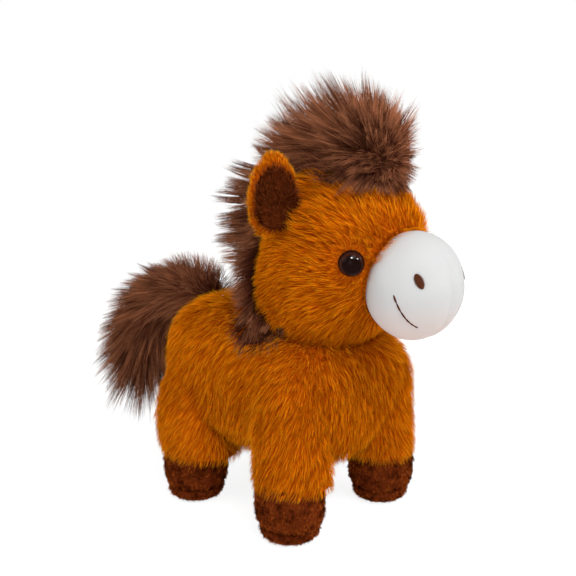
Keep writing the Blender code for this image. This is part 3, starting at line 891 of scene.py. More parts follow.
def comb_out(style: PileStyle, roots: Roots, rng: np.random.Generator) -> tuple[Array, Array]:
    """Bends every hair from its root along the comb, and gathers the hairs into tufts.

    Args:
        style: How the pile is combed.
        roots: Where the hairs start.
        rng: Seeded random numbers.

    Returns:
        Points of each hair from root to tip, and the tone of each hair from 0 to 1.
    """
    count = roots.count()
    groups = [leaders_of(roots.places, tuft.spacing, style.density, rng) for tuft in style.tufts]
    stray = rng.normal(0.0, style.tangle, (count, 3))
    tone = MIDDLE_TONE + roots.shade + rng.normal(0.0, style.tone_spread / 2, count)
    for tuft, (chosen, follows) in zip(style.tufts, groups):
        stray += rng.normal(0.0, 1.0, (len(chosen), 3))[follows] * tuft.stray
        tone += rng.normal(0.0, 1.0, len(chosen))[follows] * tuft.tone
    length = style.length * roots.length * (1.0 - style.uneven * rng.random(count) * 2.0
                                            + style.uneven)
    points = np.zeros((count, style.rings + 1, 3))
    points[:, 0] = roots.places
    for ring in range(style.rings):
        share = (ring + 0.5) / style.rings
        rise = style.rise + (style.settle - style.rise) * share
        way = roots.normals * rise + roots.comb * (1.0 - rise) + DOWN * style.droop * share
        way = unit(way + stray)
        points[:, ring + 1] = points[:, ring] + way * (length / style.rings)[:, None]
    shares = np.linspace(0.0, 1.0, style.rings + 1)[None, :, None]
    loyal = rng.uniform(0.7, 1.0, (count, 1, 1))
    for tuft, (chosen, follows) in zip(style.tufts, groups):
        pull = tuft.pull * loyal * shares**tuft.curve
        points = points + (points[chosen][follows] - points) * pull
    return points, np.clip(tone, *TONE_RANGE)


@dataclass(frozen=True)
class Template:
    """One hair made with mesh operators, ready to be copied along many curves."""

    shares: Array
    angles: Array
    faces: tuple[tuple[int, ...], ...]

    @staticmethod
    def with_rings(rings: int) -> "Template":
        """Makes a closed three-sided hair, cut into rings along its length.

        Args:
            rings: Number of lengths between its root and its tip.

        Returns:
            The template.
        """
        mesh = bmesh.new()
        bmesh.ops.create_cone(mesh, cap_ends=True, cap_tris=False, segments=3, radius1=1.0,
                              radius2=0.0, depth=1.0, matrix=Matrix.Translation((0, 0, 0.5)))
        for ring in range(1, rings):
            bmesh.ops.bisect_plane(mesh, geom=mesh.verts[:] + mesh.edges[:] + mesh.faces[:],
                                   plane_co=(0, 0, ring / rings), plane_no=(0, 0, 1))
        bmesh.ops.recalc_face_normals(mesh, faces=mesh.faces)
        mesh.verts.index_update()
        places = np.array([tuple(v.co) for v in mesh.verts])
        faces = tuple(tuple(v.index for v in face.verts) for face in mesh.faces)
        mesh.free()
        return Template(places[:, 2], np.arctan2(places[:, 1], places[:, 0]), faces)


def hair_piece(name: str, style: PileStyle, finish: PileFinish, points: Array,
               tone: Array, rng: np.random.Generator) -> bpy.types.Object:
    """Copies the hair template along every curve, as one piece.

    Args:
        name: Name of the piece.
        style: How thick the hairs are.
        finish: Their finish.
        points: Points of each hair from root to tip.
        tone: Tone of each hair from 0 to 1.
        rng: Seeded random numbers.

    Returns:
        The piece.
    """
    template = Template.with_rings(style.rings)
    count = len(points)
    ring = np.rint(template.shares * style.rings).astype(int)
    chord = unit(points[:, -1] - points[:, 0])
    first = unit(points[:, 1] - points[:, 0])
    side = np.cross(first, chord)
    plain = np.linalg.norm(side, axis=1) < 1e-4
    side[plain] = np.cross(first[plain], unit(rng.normal(size=(int(plain.sum()), 3))))
    side = unit(side)
    turn = rng.uniform(0.0, math.tau, count)
    thick = style.width / 2 * rng.uniform(0.75, 1.15, count)
    places = np.zeros((count, len(ring), 3))
    for index, (step, angle, share) in enumerate(zip(ring, template.angles, template.shares)):
        low, high = max(step - 1, 0), min(step + 1, style.rings)
        forwards = unit(points[:, high] - points[:, low])
        over = unit(np.cross(forwards, side))
        reach = (thick * (1.0 - share)**style.taper)[:, None]
        swung = (turn + angle)[:, None]
        places[:, index] = points[:, step] + (side * np.cos(swung) + over * np.sin(swung)) * reach
    sizes = np.array([len(face) for face in template.faces])
    corners = np.concatenate([np.array(face) for face in template.faces])
    loops = (np.arange(count)[:, None] * len(ring) + corners[None, :]).ravel()
    starts = np.concatenate(([0], np.cumsum(np.tile(sizes, count))[:-1]))
    data = bpy.data.meshes.new(name)
    data.vertices.add(count * len(ring))
    data.vertices.foreach_set("co", places.astype(np.float32).ravel())
    data.loops.add(len(loops))
    data.loops.foreach_set("vertex_index", loops.astype(np.int32))
    data.polygons.add(len(starts))
    data.polygons.foreach_set("loop_start", starts.astype(np.int32))
    data.update(calc_edges=True)
    wide = np.cos(template.angles)[corners] * 0.002
    tall = template.shares[corners] * 0.96 + 0.02 + np.sin(template.angles)[corners] * 0.004
    uv = np.stack((tone[:, None] + wide[None, :], np.tile(tall, (count, 1))), axis=2)
    data.uv_layers.new(name=PILE_UV).data.foreach_set("uv", uv.astype(np.float32).ravel())
    data.shade_smooth()
    data.materials.append(finish.material())
    piece = bpy.data.objects.new(name, data)
    bpy.context.scene.collection.objects.link(piece)
    return piece


def patchy(places: Array, scale: float, depth: float) -> Array:
    """Slow change of tone over the coat.

    Args:
        places: One place per row.
        scale: Patches per metre.
        depth: Largest change.

    Returns:
        The change at each place.
    """
    return np.array([noise.noise(Vector(place) * scale) for place in places]) * depth


def drifting(places: Array, scale: float, depth: float) -> Array:
    """Slow change of the comb's direction over the coat.

    Args:
        places: One place per row.
        scale: Drifts per metre.
        depth: Size of the change.

    Returns:
        A vector to add to the comb at each place.
    """
    return np.array([tuple(noise.noise_vector(Vector(place) * scale)) for place in places]) * depth


def part_round(roots: Roots, centre: Array, inner: float, outer: float,
               shortest: float) -> Roots:
    """Parts the pile round a spot, such as an eye, and clips it short there.

    Args:
        roots: The roots.
        centre: Middle of the spot.
        inner: Distance within which no hair grows.
        outer: Distance from which the pile is untouched.
        shortest: Share of the length that is left at the inner distance.

    Returns:
        The roots outside the spot.
    """
    away = roots.places - centre
    distance = np.linalg.norm(away, axis=1)
    near = 1.0 - smooth_step(inner, outer, distance)
    aside = across(away, roots.normals)
    roots.comb = across(roots.comb * (1.0 - near)[:, None] + aside * 1.6 * near[:, None],
                        roots.normals)
    roots.length = roots.length * (1.0 - near * (1.0 - shortest))
    return roots.kept(distance > inner)


# Sub-assemblies


COAT_TUFTS = (Tuft(0.0014, 0.50, 1.3, 0.07, 0.15), Tuft(0.0034, 0.20, 1.6, 0.05, 0.11))


@dataclass
class Torso:
    """Stuffed body and legs under the combed orange coat."""

    backing_rise: float = 0.0047
    leg_rise: float = 0.0034
    hem_rise: float = 0.0085
    hem_gap: float = 0.0004
    hem_length: float = 0.72
    hem_depth: float = 0.012
    voxel: float = 0.0024
    leg_reach: float = 0.0300
    leg_top: float = 0.0560
    # Reach and depth of the painted shadow of the head on the chest and shoulder.
    painted_head_shadow_reach: float = 0.0380
    painted_head_shadow_depth: float = 0.16
    # Heights and strength of the painted light on the lower legs.
    painted_leg_light_heights: tuple[float, float] = (0.045, 0.075)
    painted_leg_light: float = 0.07
    style: PileStyle = PileStyle(density=0.96e6, length=0.0088, width=0.00029, rise=0.42,
                                 settle=0.14, droop=0.14, rings=2, tufts=COAT_TUFTS, tangle=0.09,
                                 tone_spread=0.30)

    def bulges(self) -> list[Swell]:
        """Extra stuffing in the chest, the shoulders, the rump, the belly and each leg.

        Returns:
            The swells. Those of a leg stand beside its middle and above its foot, in metres.
        """
        found = [Swell(in_box("body_cover", share, 0.08, 0.58), reach=0.024, rise=0.0070)
                 for share in (0.14, 0.86)]
        found.append(Swell(in_box("body_cover", 0.5, 0.12, 0.04), 0.028, 0.0170, sags=True))
        for side in SIDES.values():
            for aside, back, up, reach, rise, sags in ((0.25, 0.93, 0.80, 0.024, 0.0045, False),
                                                       (0.40, 0.93, 0.30, 0.024, 0.0056, False),
                                                       (0.22, 0.48, 0.03, 0.025, 0.0075, True)):
                place = in_box("body_cover", 0.5 + side * aside, back, up)
                found.append(Swell(place, reach, rise, sags))
        for corner in CORNERS:
            low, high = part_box(f"leg_cover_{corner}")
            middle = (low + high) / 2
            side = 1 if middle.x > 0 else -1
            outer = ((0.004, 0.022, 0.014, 0.018, 0.0100) if corner.startswith("rear") else
                     (0.017, 0.012, 0.026, 0.018, -0.0024))
            for aside, ahead, up, reach, rise in ((-0.014, 0.016, 0.012, 0.020, 0.0034), outer):
                place = Vector((middle.x + side * aside, middle.y - ahead, low.z + up))
                found.append(Swell(place, reach, rise))
        return found

    def hem(self) -> float:
        """Height at which the coat ends, above the hooves."""
        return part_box("leg_cover_front_right")[0].z + self.hem_rise

    def build_skin(self) -> Field:
        """Builds the backing cloth of the body and the legs as one stuffed skin.

        Returns:
            The surface that the coat is sewn to.
        """
        solids = [grown_copy("body_stuffing", self.backing_rise)]
        solids += [grown_copy(f"leg_stuffing_{corner}", self.leg_rise) for corner in CORNERS]
        skin = stuffed_skin(solids, self.voxel, 10)
        swell(skin, self.bulges())
        keep_above(skin, self.hem())
        piece = piece_from("body_skin", skin, COAT_BACKING.material())
        dress(piece, "root", Slot.COAT, "body_cover", "body_stuffing", fill=0.85)
        return Field(piece.data)

    def combed(self, roots: Roots) -> Roots:
        """Combs the coat down the flanks and legs, and back over the barrel, with a painted shadow of
        the head on the chest and painted light on the lower legs.

        Args:
            roots: The coat's hairs.

        Returns:
            The same hairs, combed and shaded.
        """
        half = (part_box("body_cover")[1].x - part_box("body_cover")[0].x) / 2
        way = np.zeros_like(roots.places)
        way[:, 0] = roots.places[:, 0] / half * 0.5
        way[:, 1] = 0.20
        way[:, 2] = -1.0
        way += drifting(roots.places, 38.0, 0.34)
        roots.comb = laid(way, roots.normals)
        # Darkens the coat on the chest below the head: a painted shadow of the head.
        away = roots.places - np.array(in_box("body_cover", 0.32, 0.05, 0.63))
        painted_head_shadow = np.exp(-(np.linalg.norm(away, axis=1) / self.painted_head_shadow_reach)**2)
        # Lightens the coat low on the legs: painted light.
        low = 1.0 - smooth_step(*self.painted_leg_light_heights, roots.places[:, 2])
        roots.shade = (patchy(roots.places, 45.0, 0.26) - painted_head_shadow * self.painted_head_shadow_depth
                       + low * self.painted_leg_light)
        return roots

    def leg_of(self, places: Array) -> Array:
        """Finds the leg that each place is on.

        Args:
            places: One place per row.

        Returns:
            Number of the leg for each place, or -1 on the body.
        """
        found = np.full(len(places), -1)
        for number, corner in enumerate(CORNERS):
            low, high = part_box(f"hoof_sole_{corner}")
            middle = np.array(((low + high) / 2)[:2])
            near = np.linalg.norm(places[:, :2] - middle, axis=1) < self.leg_reach
            found[near & (places[:, 2] < self.leg_top)] = number
        return found

    def grow_coat(self, cloth: Field, hidden_by: Sequence[tuple[Field, float]]) -> None:
        """Grows the coat in panels: one for each leg and four for the body.

        Args:
            cloth: Surface that the coat is sewn to.
            hidden_by: Surfaces that hide the coat, each with the distance at which it does.
        """
        rng = np.random.default_rng(11)
        roots = cloth.sown(self.style.density, rng)
        roots = roots.kept(roots.places[:, 2] > self.hem() + self.hem_gap)
        roots = self.combed(roots.outside(hidden_by))
        roots.length *= eased_up(self.hem_length, 0.0, self.hem_depth, roots.places[:, 2] - self.hem())
        points, tone = comb_out(self.style, roots, rng)
        leg = self.leg_of(roots.places)
        middle = sum(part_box("body_cover"), Vector()) / 2
        right = roots.places[:, 0] < 0
        front = roots.places[:, 1] < middle.y
        panels: list[tuple[str, Array, tuple[str, ...]]] = [
            (f"coat_leg_{corner}", leg == number, (f"leg_cover_{corner}", f"leg_stuffing_{corner}"))
            for number, corner in enumerate(CORNERS)]
        panels += [("coat_shoulder_right", (leg < 0) & right & front, ()),
                   ("coat_shoulder_left", (leg < 0) & ~right & front, ()),
                   ("coat_rump_right", (leg < 0) & right & ~front, ()),
                   ("coat_rump_left", (leg < 0) & ~right & ~front, ())]
        for name, mask, nodes in panels:
            piece = hair_piece(name, self.style, COAT, points[mask], tone[mask], rng)
            dress(piece, "root", Slot.COAT, *nodes)


@dataclass
class Head:
    """Stuffed head under its coat, parted round the eyes and the muzzle."""

    backing_rise: float = 0.0047
    voxel: float = 0.0022
    style: PileStyle = PileStyle(density=1.00e6, length=0.0084, width=0.00028, rise=0.42,
                                 settle=0.14, droop=0.04, rings=2, tufts=COAT_TUFTS, tangle=0.09,
                                 tone_spread=0.30)
    fringe: PileStyle = PileStyle(density=1.6e6, length=0.0086, width=0.00026, rise=0.52,
                                  settle=0.02, droop=0.0, rings=3,
                                  tufts=(Tuft(0.0014, 0.40, 1.3, 0.10, 0.14),), tangle=0.10,
                                  tone_spread=0.30)
    border_length: float = 0.60
    border_reach: float = 1.25
    fringe_reach: float = 1.10
    fringe_clearance: float = 0.0007
    ear_reach: float = 0.0130
    ear_growth: float = 1.4

    def build_skin(self) -> Field:
        """Builds the backing cloth of the head as one stuffed skin.

        Returns:
            The surface that the coat is sewn to.
        """
        skin = stuffed_skin([grown_copy("head_stuffing", self.backing_rise)], self.voxel, 8)
        swell(skin, [Swell(in_box("head_cover", 0.5, 0.10, 0.78), 0.020, 0.0030)])
        piece = piece_from("head_skin", skin, COAT_BACKING.material())
        dress(piece, "root", Slot.COAT, "head_cover", "head_stuffing", fill=0.9)
        return Field(piece.data)

    def grow_coat(self, cloth: Field, hidden_by: Sequence[tuple[Field, float]], muzzle: "Muzzle",
                  eyes: "Eyes") -> None:
        """Grows the coat of the head, combed away from the muzzle.

        Args:
            cloth: Surface that the coat is sewn to.
            hidden_by: Surfaces that hide the coat, each with the distance at which it does.
            muzzle: The muzzle, which the coat parts round.
            eyes: The eyes, which the coat parts round.
        """
        rng = np.random.default_rng(23)
        roots = cloth.sown(self.style.density, rng).outside(hidden_by)
        low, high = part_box("head_cover")
        away = unit(roots.places - np.array(muzzle.centre))
        below = smooth_step(0.0, 0.04, muzzle.centre.z - roots.places[:, 2])
        behind = smooth_step(0.0, 1.0, (roots.places[:, 1] - low.y) / (high.y - low.y))
        way = away + DOWN * (below * 0.5 + behind * 0.55)[:, None]
        way += drifting(roots.places, 42.0, 0.30)
        roots.comb = across(way, roots.normals)
        roots.shade = patchy(roots.places, 50.0, 0.26)
        reach = muzzle.reach_of(roots.places)
        roots.length *= eased_up(self.border_length, 1.0, self.border_reach, reach)
        roots = roots.kept(reach > 1.0)
        for side, sign in SIDES.items():
            ear = np.array(in_box(f"ear_lining_{side}", 0.5, 0.5, 0.5))
            foot = np.array(in_box("head_cover", 0.5 + sign * 0.414, 0.46, 0.76))
            away = np.linalg.norm(roots.places - foot, axis=1)
            near = np.exp(-(away / self.ear_reach)**2)
            roots.comb = across(roots.comb * (1.0 - near)[:, None]
                                + unit(ear - roots.places) * near[:, None], roots.normals)
            roots.length *= 1.0 + self.ear_growth * near
        for spot in eyes.spots.values():
            roots = part_round(roots, np.array(spot.middle), eyes.clearing, eyes.parting,
                               eyes.clipped)
        points, tone = comb_out(self.style, roots, rng)
        for side, sign in SIDES.items():
            mask = roots.places[:, 0] * sign >= 0
            piece = hair_piece(f"coat_head_{side}", self.style, COAT, points[mask], tone[mask], rng)
            dress(piece, "root", Slot.COAT)

    def grow_fringe(self, cloth: Field, muzzle: "Muzzle") -> None:
        """Grows the short fringe that laps over the muzzle's border.

        Args:
            cloth: Surface that the fringe is sewn to.
            muzzle: The muzzle that it laps over.
        """
        rng = np.random.default_rng(29)
        roots = cloth.sown(self.fringe.density, rng)
        reach = muzzle.reach_of(roots.places)
        roots = roots.kept((reach > 1.0) & (reach < self.fringe_reach))
        inwards = np.array(muzzle.centre) - roots.places
        roots.comb = across(unit(inwards) * 0.9 + FORWARDS, roots.normals)
        above = smooth_step(0.1, 0.6, -inwards[:, 2] / muzzle.half[2])
        roots.length *= rng.uniform(0.6, 1.15, roots.count()) * (1.0 + 0.5 * above)
        points, tone = comb_out(self.fringe, roots, rng)
        for ring in range(1, points.shape[1]):
            height = self.fringe_clearance * ring
            points[:, ring] = muzzle.surface.lifted(points[:, ring], height)
        dress(hair_piece("coat_border", self.fringe, COAT, points, tone, rng), "root", Slot.COAT)


@dataclass
class Muzzle:
    """Smooth white muzzle with its embroidered nostrils and smile."""

    centre: Vector = field(init=False)
    half: Vector = field(init=False)
    surface: Field = field(init=False)
    seam_depth: float = 0.0015
    seam_width: float = 0.0016
    nostril_dent: float = 0.0006
    dent_reach: float = 0.0052
    smile_headings: tuple[float, ...] = (75.0, 71.0, 65.0, 58.5, 52.5, 45.5)
    smile_lifts: tuple[float, ...] = (-1.0, -11.5, -24.0, -32.0, -37.0, -40.5)
    thread_radius: float = 0.00042
    satin_radius: float = 0.00030
    satin_rows: int = 13
    stitches: int = 6

    def __post_init__(self) -> None:
        """Takes the muzzle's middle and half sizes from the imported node."""
        low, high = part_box("muzzle_cover")
        width = high.x - low.x
        self.half = Vector((width / 2, width / 2, (high.z - low.z) / 2))
        self.centre = Vector(((low.x + high.x) / 2, low.y + width / 2, (low.z + high.z) / 2))

    def reach_of(self, places: Array) -> Array:
        """How far out places lie from the muzzle's middle, where its dome is at 1."""
        return np.linalg.norm((places - np.array(self.centre)) / np.array(self.half), axis=1)

    def outward(self, place: Vector) -> Vector:
        """Normal of the muzzle's dome at a place near it."""
        ray = place - self.centre
        return Vector([part / half**2 for part, half in zip(ray, self.half)]).normalized()

    def on_dome(self, place: Vector, out: float = 0.0) -> Vector:
        """Moves a place to the muzzle's dome, or a little off it.

        Args:
            place: The place.
            out: How far off the dome it ends.

        Returns:
            The moved place.
        """
        ray = place - self.centre
        reach = math.sqrt(sum((part / half)**2 for part, half in zip(ray, self.half)))
        spot = self.centre + ray / reach
        return spot + self.outward(spot) * out

    def facing(self, heading: float, lift: float, side: int) -> Vector:
        """Point of the dome that lies one way from its middle.

        Args:
            heading: Degrees away from straight ahead.
            lift: Degrees up.
            side: 1 for the left side and -1 for the right.

        Returns:
            The point.
        """
        turn, rise = math.radians(heading), math.radians(lift)
        ray = Vector((side * math.sin(turn) * math.cos(rise), -math.cos(turn) * math.cos(rise),
                      math.sin(rise)))
        return self.on_dome(self.centre + ray)

    def build_dome(self) -> None:
        """Builds the stuffed dome, with the seam down its front and a dimple at each nostril."""
        mesh = bmesh.new()
        bmesh.ops.create_uvsphere(mesh, u_segments=96, v_segments=64, radius=1.0)
        dents = [Vector(np.mean(node_points(f"nostril_{side}"), axis=0)) for side in SIDES]
        for vertex in mesh.verts:
            place = self.centre + Vector([c * h for c, h in zip(vertex.co, self.half)])
            normal = self.outward(place)
            front = max(-normal.y, 0.0) * (1.0 - max(normal.z, 0.0) * 0.8)
            seam = math.exp(-(place.x / self.seam_width)**2) * self.seam_depth * front
            dent = sum(math.exp(-((place - spot).length / self.dent_reach)**2) for spot in dents)
            soft = noise.noise(place * 60.0) * 0.0005
            vertex.co = place - normal * (seam + dent * self.nostril_dent - soft)
        bmesh.ops.recalc_face_normals(mesh, faces=mesh.faces)
        piece = piece_from("muzzle", mesh, MUZZLE_NAP.material())
        dress(piece, "root", Slot.MUZZLE, "muzzle_cover", "muzzle_stuffing", fill=0.95)
        self.surface = Field(piece.data)

    def stitch(self, mesh: bmesh.types.BMesh, start: Vector, end: Vector, radius: float,
               normal: Vector) -> None:
        """Adds one stitch: a thread that rises from the cloth, arches over it and goes back in.

        Args:
            mesh: The bmesh that takes the stitch.
            start: Where the thread comes out.
            end: Where it goes back in.
            radius: Half the thread's thickness.
            normal: The cloth's outward normal.
        """
        along = end - start
        length = along.length
        along.normalize()
        deep = along.cross(normal).normalized()
        turn = Matrix((deep, normal.cross(deep), normal)).transposed()
        added = bmesh.ops.create_uvsphere(mesh, u_segments=14, v_segments=8, radius=1.0)
        middle = (start + end) / 2
        for vertex in added["verts"]:
            x, y, z = vertex.co.x, vertex.co.y, vertex.co.z
            bulge = (1.0 - abs(y))**0.35 if abs(y) < 1.0 else 0.0
            local = Vector((x * radius, y * length / 2, z * radius - radius * 0.6 * y * y))
            vertex.co = middle + turn @ local
            vertex.co += normal * radius * 0.2 * bulge

    def build_nostrils(self) -> None:
        """Fills each nostril's oval with rows of satin stitch."""
        for side in SIDES:
            node = f"nostril_{side}"
            points = node_points(node)
            middle = points.mean(axis=0)
            spread, ways = np.linalg.eigh(np.cov((points - middle).T))
            tall = Vector(ways[:, np.argmax(spread)])
            normal = self.outward(Vector(middle))
            tall = (tall - normal * tall.dot(normal)).normalized()
            wide = normal.cross(tall).normalized()
            offsets = points - middle
            half_tall = float(np.abs(offsets @ np.array(tall)).max())
            half_wide = float(np.abs(offsets @ np.array(wide)).max())
            mesh = bmesh.new()
            for row in range(self.satin_rows):
                share = (row + 0.5) / self.satin_rows * 2.0 - 1.0
                reach = half_wide * math.sqrt(max(1.0 - share * share, 0.05))
                line = Vector(middle) + tall * half_tall * share
                start = self.on_dome(line - wide * reach, self.satin_radius * 0.5)
                end = self.on_dome(line + wide * reach, self.satin_radius * 0.5)
                self.stitch(mesh, start, end, self.satin_radius * 1.25, normal)
            piece = piece_from(f"nostril_satin_{side}", mesh, THREAD.material())
            dress(piece, "root", Slot.THREAD, node)

    def build_smile(self) -> None:
        """Sews each half of the smile as a run of back stitches that fades at its end."""
        for side, sign in SIDES.items():
            mesh = bmesh.new()
            marks = np.arange(len(self.smile_headings))
            places = []
            for at in np.linspace(0.0, marks[-1], self.stitches + 1):
                heading = float(np.interp(at, marks, self.smile_headings))
                lift = float(np.interp(at, marks, self.smile_lifts))
                places.append(self.facing(heading, lift, sign))
            for step, (start, end) in enumerate(zip(places, places[1:])):
                along = (end - start) * 0.10
                normal = self.outward((start + end) / 2)
                radius = self.thread_radius * (1.0 - 0.35 * step / self.stitches)
                first = self.on_dome(start - along, radius * 0.3)
                last = self.on_dome(end + along, radius * 0.3)
                self.stitch(mesh, first, last, radius * 1.3, normal)
            piece = piece_from(f"smile_stitches_{side}", mesh, THREAD.material())
            dress(piece, "root", Slot.THREAD, f"smile_stitch_{side}")


@dataclass(frozen=True)
class EyeSpot:
    """Where one eye sits."""

    middle: Vector
    axis: Vector
    radius: float


@dataclass
class Eyes:
    """Moulded safety eyes, each a glossy dome with a rolled rim."""

    clearing: float = 0.0060
    parting: float = 0.0130
    clipped: float = 0.35
    dome_share: float = 0.78
    skirt: float = 0.0042
    steps: int = 48
    spots: dict[str, EyeSpot] = field(init=False)

    def __post_init__(self) -> None:
        """Finds each eye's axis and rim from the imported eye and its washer."""
        self.spots = {}
        for side in SIDES:
            points = node_points(f"eye_{side}")
            washer = node_points(f"eye_washer_{side}").mean(axis=0)
            axis = unit((points.mean(axis=0) - washer)[None, :])[0]
            along = (points - washer) @ axis
            offsets = points - washer - along[:, None] * axis
            radius = float(np.linalg.norm(offsets, axis=1).max())
            apex = washer + axis * along.max()
            middle = apex - axis * radius * self.dome_share
            self.spots[side] = EyeSpot(Vector(middle), Vector(axis), radius)

    def build(self) -> None:
        """Turns each eye and marks its rings for the finish."""
        material = BeadFinish().material()
        for side, spot in self.spots.items():
            rise = spot.radius * self.dome_share
            profile = [(0.0, -self.skirt)]
            profile += [(spot.radius * share, -self.skirt * (1.0 - 0.75 * share**4))
                        for share in (0.3, 0.6, 0.82, 0.94)]
            profile += [(spot.radius * math.cos(angle), rise * math.sin(angle))
                        for angle in np.linspace(-0.12, math.pi / 2, 18)[:-1]]
            profile.append((0.0, rise))
            mesh = turned(profile, spot.middle, spot.axis, self.steps)
            piece = piece_from(f"safety_eye_{side}", mesh, material)
            rings = piece.data.attributes.new("ring", "FLOAT", "POINT")
            for vertex, ring in zip(piece.data.vertices, rings.data):
                offset = vertex.co - spot.middle
                aside = offset - spot.axis * offset.dot(spot.axis)
                ring.value = aside.length / spot.radius
            dress(piece, "root", Slot.EYE, f"eye_{side}")
            washer = frame["nodes"][f"eye_washer_{side}"]
            washer.data.materials.clear()
            washer.data.materials.append(WasherFinish().material())


@dataclass
class Ears:
    """Cupped ears: a furry back that folds round a short-nap lining."""

    inset: float = -0.0012
    widening: float = 1.30
    lining_widening: float = 1.66
    lining_share: float = 0.90
    lining_ahead: float = 0.0016
    lining_margin: float = 0.0014
    voxel: float = 0.0012
    style: PileStyle = PileStyle(density=2.1e6, length=0.0040, width=0.00026, rise=0.42,
                                 settle=0.12, droop=0.0, rings=2,
                                 tufts=(Tuft(0.0014, 0.3, 1.4, 0.05, 0.08),), tangle=0.08)
    nap: PileStyle = PileStyle(density=1.5e6, length=0.0050, width=0.00028, rise=0.30, settle=0.20,
                               droop=0.0, rings=2, tufts=(Tuft(0.0013, 0.6, 1.3, 0.16, 0.44),),
                               tangle=0.14, tone_spread=0.55)

    def widen(self, solid: bmesh.types.BMesh, hinge: Array, lean: Array, by: float) -> None:
        """Stretches an ear's solid from its outer edge towards the head.

        Args:
            solid: The bmesh to stretch.
            hinge: Point of the ear's fold.
            lean: Unit vector from the fold to the ear's outer edge.
            by: How many times wider the solid becomes.
        """
        way, start = Vector(lean), Vector(hinge)
        far = max((vertex.co - start).dot(way) for vertex in solid.verts)
        for vertex in solid.verts:
            out = (vertex.co - start).dot(way)
            vertex.co += way * (far - (far - out) * by - out)

    def shorten(self, solid: bmesh.types.BMesh, axis: Array) -> None:
        """Draws a lining in along the fold, so that the rim round it is as wide as its edge.

        Args:
            solid: The lining's bmesh.
            axis: Unit vector along the fold.
        """
        way = Vector(axis)
        along = [vertex.co.dot(way) for vertex in solid.verts]
        middle = (min(along) + max(along)) / 2
        for vertex, place in zip(solid.verts, along):
            vertex.co += way * (middle - place) * (1.0 - self.lining_share)

    def build(self, side: str) -> None:
        """Builds one ear's skin, lining, coat and nap.

        Args:
            side: Left or right.
        """
        rng = np.random.default_rng(31 if side == "left" else 37)
        body = f"ear_{side}"
        joint = joint_named(f"ear_fold_{side}")
        hinge, axis = np.array(joint["pos_m"]), unit(np.array([joint["axis"]], float))[0]
        solids = [grown_copy(f"ear_back_{side}", self.inset),
                  grown_copy(f"ear_lining_{side}", self.inset * 0.5)]
        outline = node_points(f"ear_back_{side}") - hinge
        lean = outline.mean(axis=0)
        lean = unit((lean - axis * (lean @ axis))[None, :])[0]
        for solid in solids:
            self.widen(solid, hinge, lean, self.widening)
        skin = piece_from(f"ear_skin_{side}", stuffed_skin(solids, self.voxel, 6),
                          COAT_BACKING.material())
        dress(skin, body, Slot.COAT, f"ear_back_{side}", fill=0.35)
        cloth = Field(skin.data)
        inner_solid = grown_copy(f"ear_lining_{side}", 0.0002)
        self.widen(inner_solid, hinge, lean, self.lining_widening)
        self.shorten(inner_solid, axis)
        facing = node_points(f"ear_lining_{side}").mean(axis=0) - outline.mean(axis=0) - hinge
        facing = unit(across(facing[None, :], lean[None, :]))[0]
        bmesh.ops.translate(inner_solid, verts=inner_solid.verts,
                            vec=Vector(facing) * self.lining_ahead)
        lining_mesh = stuffed_skin([inner_solid], self.voxel, 4)
        lining = piece_from(f"ear_lining_nap_{side}", lining_mesh, LINING_CLOTH.material())
        dress(lining, body, Slot.LINING, f"ear_lining_{side}", fill=0.25)
        inner = Field(lining.data)

        roots = cloth.sown(self.style.density, rng).outside([(inner, self.lining_margin)])
        reach = roots.places - hinge
        reach -= axis * (reach @ axis)[:, None] * 0.35
        roots.comb = across(reach + drifting(roots.places, 60.0, 0.004), roots.normals)
        roots.shade = patchy(roots.places, 60.0, 0.2)
        points, tone = comb_out(self.style, roots, rng)
        dress(hair_piece(f"ear_coat_{side}", self.style, COAT, points, tone, rng), body, Slot.COAT)

        short = inner.sown(self.nap.density, rng).outside([(cloth, -0.0002)])
        short.comb = across(short.places - hinge, short.normals)
        short.shade = patchy(short.places, 160.0, 0.5) + patchy(short.places, 700.0, 0.5)
        points, tone = comb_out(self.nap, short, rng)
        dress(hair_piece(f"ear_nap_{side}", self.nap, LINING_NAP, points, tone, rng), body,
              Slot.LINING)


